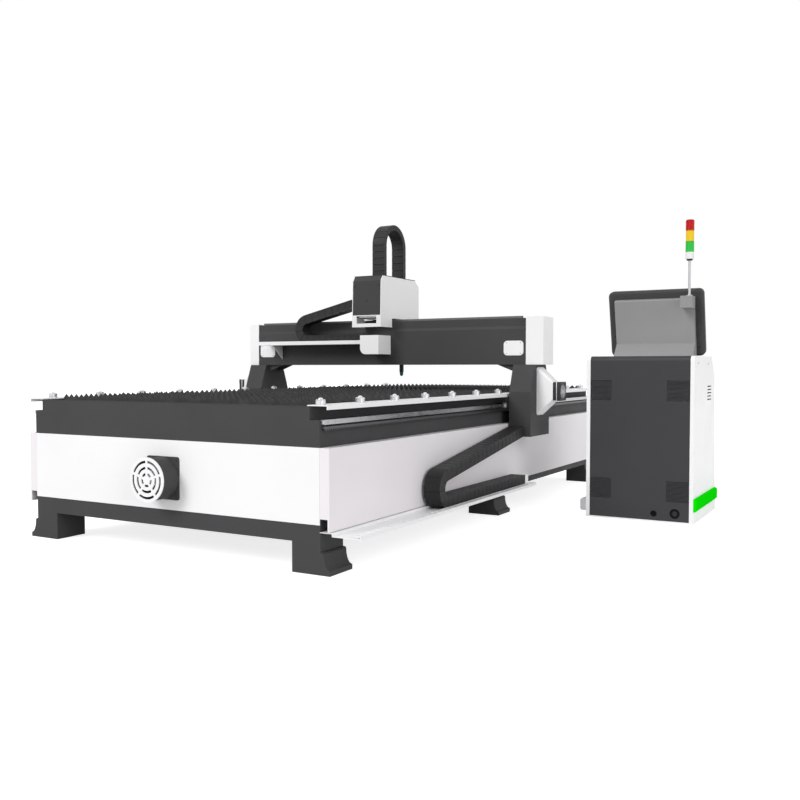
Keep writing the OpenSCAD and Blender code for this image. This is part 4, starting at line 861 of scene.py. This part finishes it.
FLANGE_REACH, FLANGE_THICK = 0.100, 0.006
duct_low, duct_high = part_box("exhaust_duct")
duct_mid = (duct_low + duct_high) / 2
flange_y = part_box("end_panels")[0].y - FLANGE_THICK
places = [((duct_mid.x + sx * FLANGE_REACH, flange_y, duct_mid.z + sz * FLANGE_REACH), -Y)
          for sx in BOTH for sz in BOTH]
finished(stamped("exhaust_flange_screws", flange_screw, places), "dark_coat", "root")
print("beam and flange screws done")

# %% Screws on the carriage's cover
COVER_DX = 0.105
FROM_FOOT, FROM_MIDDLE, FROM_TOP = 0.045, 0.130, 0.075
cover_low, cover_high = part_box("carriage_cover")
cover_mid_x = (cover_low.x + cover_high.x) / 2
places = [((cover_mid_x + sx * COVER_DX, cover_low.y, z), -Y) for sx in BOTH
          for z in (cover_low.z + FROM_FOOT, cover_high.z - FROM_TOP)]
places.append(((cover_mid_x, cover_low.y, cover_low.z + FROM_MIDDLE), -Y))
finished(stamped("carriage_cover_screws", small_screw, places), "dark_coat", "carriage")
print("carriage screws done")

# %% Screws on the console's sides and the hood's back
SIDE_PLACES = ((0.108, 0.046), (0.444, 0.051))
console_low, console_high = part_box("console_body")
places = [((side, console_low.y + back, console_high.z - down), X * sign)
          for side, sign in ((console_low.x, -1), (console_high.x, 1)) for back, down in SIDE_PLACES]
finished(stamped("console_side_screws", flange_screw, places), "zinc", "root")

HOOD_LEAN = math.radians(13)
HOOD_FOOT_Y, HOOD_FOOT_Z, HOOD_THICK, RIM_MIDDLE = 0.520, 1.088, 0.038, 0.036
hood_back = Vector((0, -math.cos(HOOD_LEAN), -math.sin(HOOD_LEAN)))
hood_up = Vector((0, -math.sin(HOOD_LEAN), math.cos(HOOD_LEAN)))
hood_low, hood_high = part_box("hood_bezel")
hood_foot = Vector((0, console_low.y + HOOD_FOOT_Y, HOOD_FOOT_Z)) + hood_back * HOOD_THICK
places = [(X * x + hood_foot + hood_up * z, hood_back)
          for x in (hood_low.x + RIM_MIDDLE, hood_high.x - RIM_MIDDLE) for z in spaced(0.060, 0.400, 5)]
finished(stamped("hood_screws", small_screw, places), "motor_black", "root")
print("console screws done")

# %% [markdown]
# ### Rail screws
# A guide rail is bolted down at short even steps along its whole length, with each screw sunk
# almost flush. That row of small rings is what tells a ground rail from a plain bar.

# %% Screws along the guide rails
END_GAP = 0.030
LONG_COUNT, CROSS_COUNT = 71, 38
rails_low, rails_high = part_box("y_rails")
rail_z = (rails_low.z + rails_high.z) / 2
places = [((x, y, rail_z), X * sign) for x, sign in ((rails_low.x, -1), (rails_high.x, 1))
          for y in spaced(rails_low.y + END_GAP, rails_high.y - END_GAP, LONG_COUNT)]
finished(stamped("long_rail_screws", rail_screw, places), "turned_steel", "root")
cross_low, cross_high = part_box("x_rails")
rail_half = 0.010
places = [((x, cross_high.y, z), Y) for z in (cross_low.z + rail_half, cross_high.z - rail_half)
          for x in spaced(cross_low.x + END_GAP, cross_high.x - END_GAP, CROSS_COUNT)]
finished(stamped("cross_rail_screws", rail_screw, places), "turned_steel", "gantry")
for shape in (small_screw, flange_screw, rail_screw):
    remove(shape)
print("rail screws done")

# %% [markdown]
# ## Motors of the long axis
# Each column carries a motor whose end stands out of its cover: a flange against the cover, a
# light gap, and the motor's own round-cornered body with a fan behind a wire guard. The
# construction model has a plain block, so this piece takes its place inside the same box.

# %% One motor end, modelled about its axis
motor_low, motor_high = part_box("y_motors")
motor_mid = (motor_low + motor_high) / 2
cowl_low, cowl_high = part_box("motor_cowls")
half_w, half_h = (motor_high.y - motor_low.y) / 2, (motor_high.z - motor_low.z) / 2
stand = motor_high.x - cowl_high.x
flange_end, plate_end = stand * 0.42, stand * 0.54


def motor_end(name):
    """From just inside the cover to its length along X."""
    flange = block(name, (-0.004, -half_w + 0.004, -half_h + 0.003),
                   (flange_end, half_w - 0.004, half_h - 0.003))
    rounded(flange, 0.005, segments=3)
    plate = block(name + "_plate", (flange_end, -half_w, -half_h), (plate_end, half_w, half_h))
    rounded(plate, 0.002)
    body = block(name + "_body", (plate_end, -half_w, -half_h), (stand, half_w, half_h))
    pick(body, facing(X))
    bpy.ops.mesh.inset(thickness=0.010)
    bpy.ops.mesh.inset(thickness=0.002, depth=-0.004)
    done(body)
    rounded(body, 0.004, segments=3)
    return flange, plate, body


def finger_guard(name, x, radius):
    """Wire rings, four spokes across them and a round hub, just under the motor's rim."""
    ring_wire, spoke_wire = 0.0016, 0.0015
    parts = []
    for r in (radius, radius * 0.72, radius * 0.44):
        bpy.ops.object.select_all(action="DESELECT")
        bpy.ops.mesh.primitive_torus_add(location=(x, 0, 0), rotation=(0, math.pi / 2, 0),
                                         major_radius=r, minor_radius=ring_wire,
                                         major_segments=40, minor_segments=6)
        bpy.ops.object.transform_apply(location=True, rotation=True, scale=True)
        parts.append(bpy.context.object)
    for turn in range(4):
        a = math.pi * (turn / 4 + 0.125)
        across = (0, math.cos(a), math.sin(a))
        parts.append(disc(name + "_spoke", (x, 0, 0), across, spoke_wire, 2 * radius, sides=6))
    hub = disc(name + "_hub", (x, 0, 0), X, radius * 0.30, 0.003, sides=32)
    rounded(hub, 0.001, segments=1)
    return joined(name, parts + [hub])


print("motor end stands out", round(stand * 1000), "mm")

# %% Both motor ends, in place of the plain blocks
for side, sign in (("left", -1), ("right", 1)):
    flange, plate, body = motor_end("y_motor_" + side)
    guard = finger_guard("y_motor_guard_" + side, stand - 0.0022, min(half_w, half_h) - 0.013)
    cover_x, turn = (cowl_high.x, 0) if sign > 0 else (cowl_low.x, math.pi)
    place = Matrix.Translation((cover_x, motor_mid.y, motor_mid.z)) @ Matrix.Rotation(turn, 4, "Z")
    for piece, coat in ((flange, "motor_black"), (plate, "zinc"), (body, "motor_black"), (guard, "zinc")):
        piece.data.transform(place)
        finished(piece, coat, "gantry")
    for piece, part in ((flange, "flange"), (plate, "plate"), (body, "body")):
        piece.name = "y_motor_%s_%s" % (part, side)
    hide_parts("y_motors")
    print(side, "motor end dressed")

# %% [markdown]
# ## Signal lamp trim
# The lamp's tube is bright metal up to a dark nut, and the cap above it is white plastic. A
# thin round foot spreads the tube's load on its bracket. Both are rods with rounded rims.

# %% Lamp nut and foot
lens_low, lens_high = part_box("lamp_lenses")
lamp_x, lamp_y = (lens_low.x + lens_high.x) / 2, (lens_low.y + lens_high.y) / 2
nut = disc("lamp_nut", (lamp_x, lamp_y, cap_z - 0.004), Z, radius=0.019, height=0.012, sides=32)
finished(rounded(nut, 0.002), "motor_black", "root")
foot = disc("lamp_foot", (lamp_x, lamp_y, stem_low.z + 0.002), Z, radius=0.020, height=0.004, sides=32)
finished(rounded(foot, 0.001), "zinc", "root")
print("lamp nut and foot done")

# %% [markdown]
# ## Cable entries
# The console's back has a rubber cable entry low down and a blank round inlet beside it. Each
# is a disc whose face is inset a few times and moved in or out, which leaves a lip, a thin
# membrane and a small boss without any cut in the panel. Their near-black rubber closes the
# panel's open holes and is partly painted shade: it stands in for the dark inside them.

# %% Cable entries in the console's back
def cable_entry(name, centre, radius):
    """A rubber ring in the panel, closed by a thin membrane with a small boss; its near-black is partly
    painted shade for the hole.
    """
    ring = disc(name, centre, -Y, radius + 0.006, 0.009, sides=40)
    pick(ring, facing(-Y))
    bpy.ops.mesh.inset(thickness=0.006)
    bpy.ops.mesh.inset(thickness=0.0015, depth=-0.006)
    bpy.ops.mesh.inset(thickness=radius * 0.45)
    bpy.ops.mesh.inset(thickness=0.001, depth=0.0015)
    return finished(rounded(done(ring), 0.0015, angle=50), "rubber_and_hole_shade", "root")


SUNK = 0.0015
panel_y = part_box("console_back")[0].y + SUNK
cable_entry("cable_entry", (console_low.x + 0.451, panel_y, 0.054), 0.014)
# the blank inlet's near-black rubber is partly painted shade for the dark inside of its hole
inlet = disc("power_inlet", (console_low.x + 0.585, panel_y, 0.061), -Y, radius=0.0315, height=0.003,
             sides=48)
pick(inlet, facing(-Y))
bpy.ops.mesh.inset(thickness=0.0035, depth=-0.001)
bpy.ops.mesh.inset(thickness=0.009)
bpy.ops.mesh.inset(thickness=0.001, depth=-0.001)
finished(done(inlet), "rubber_and_hole_shade", "root")
print("cable entries done")
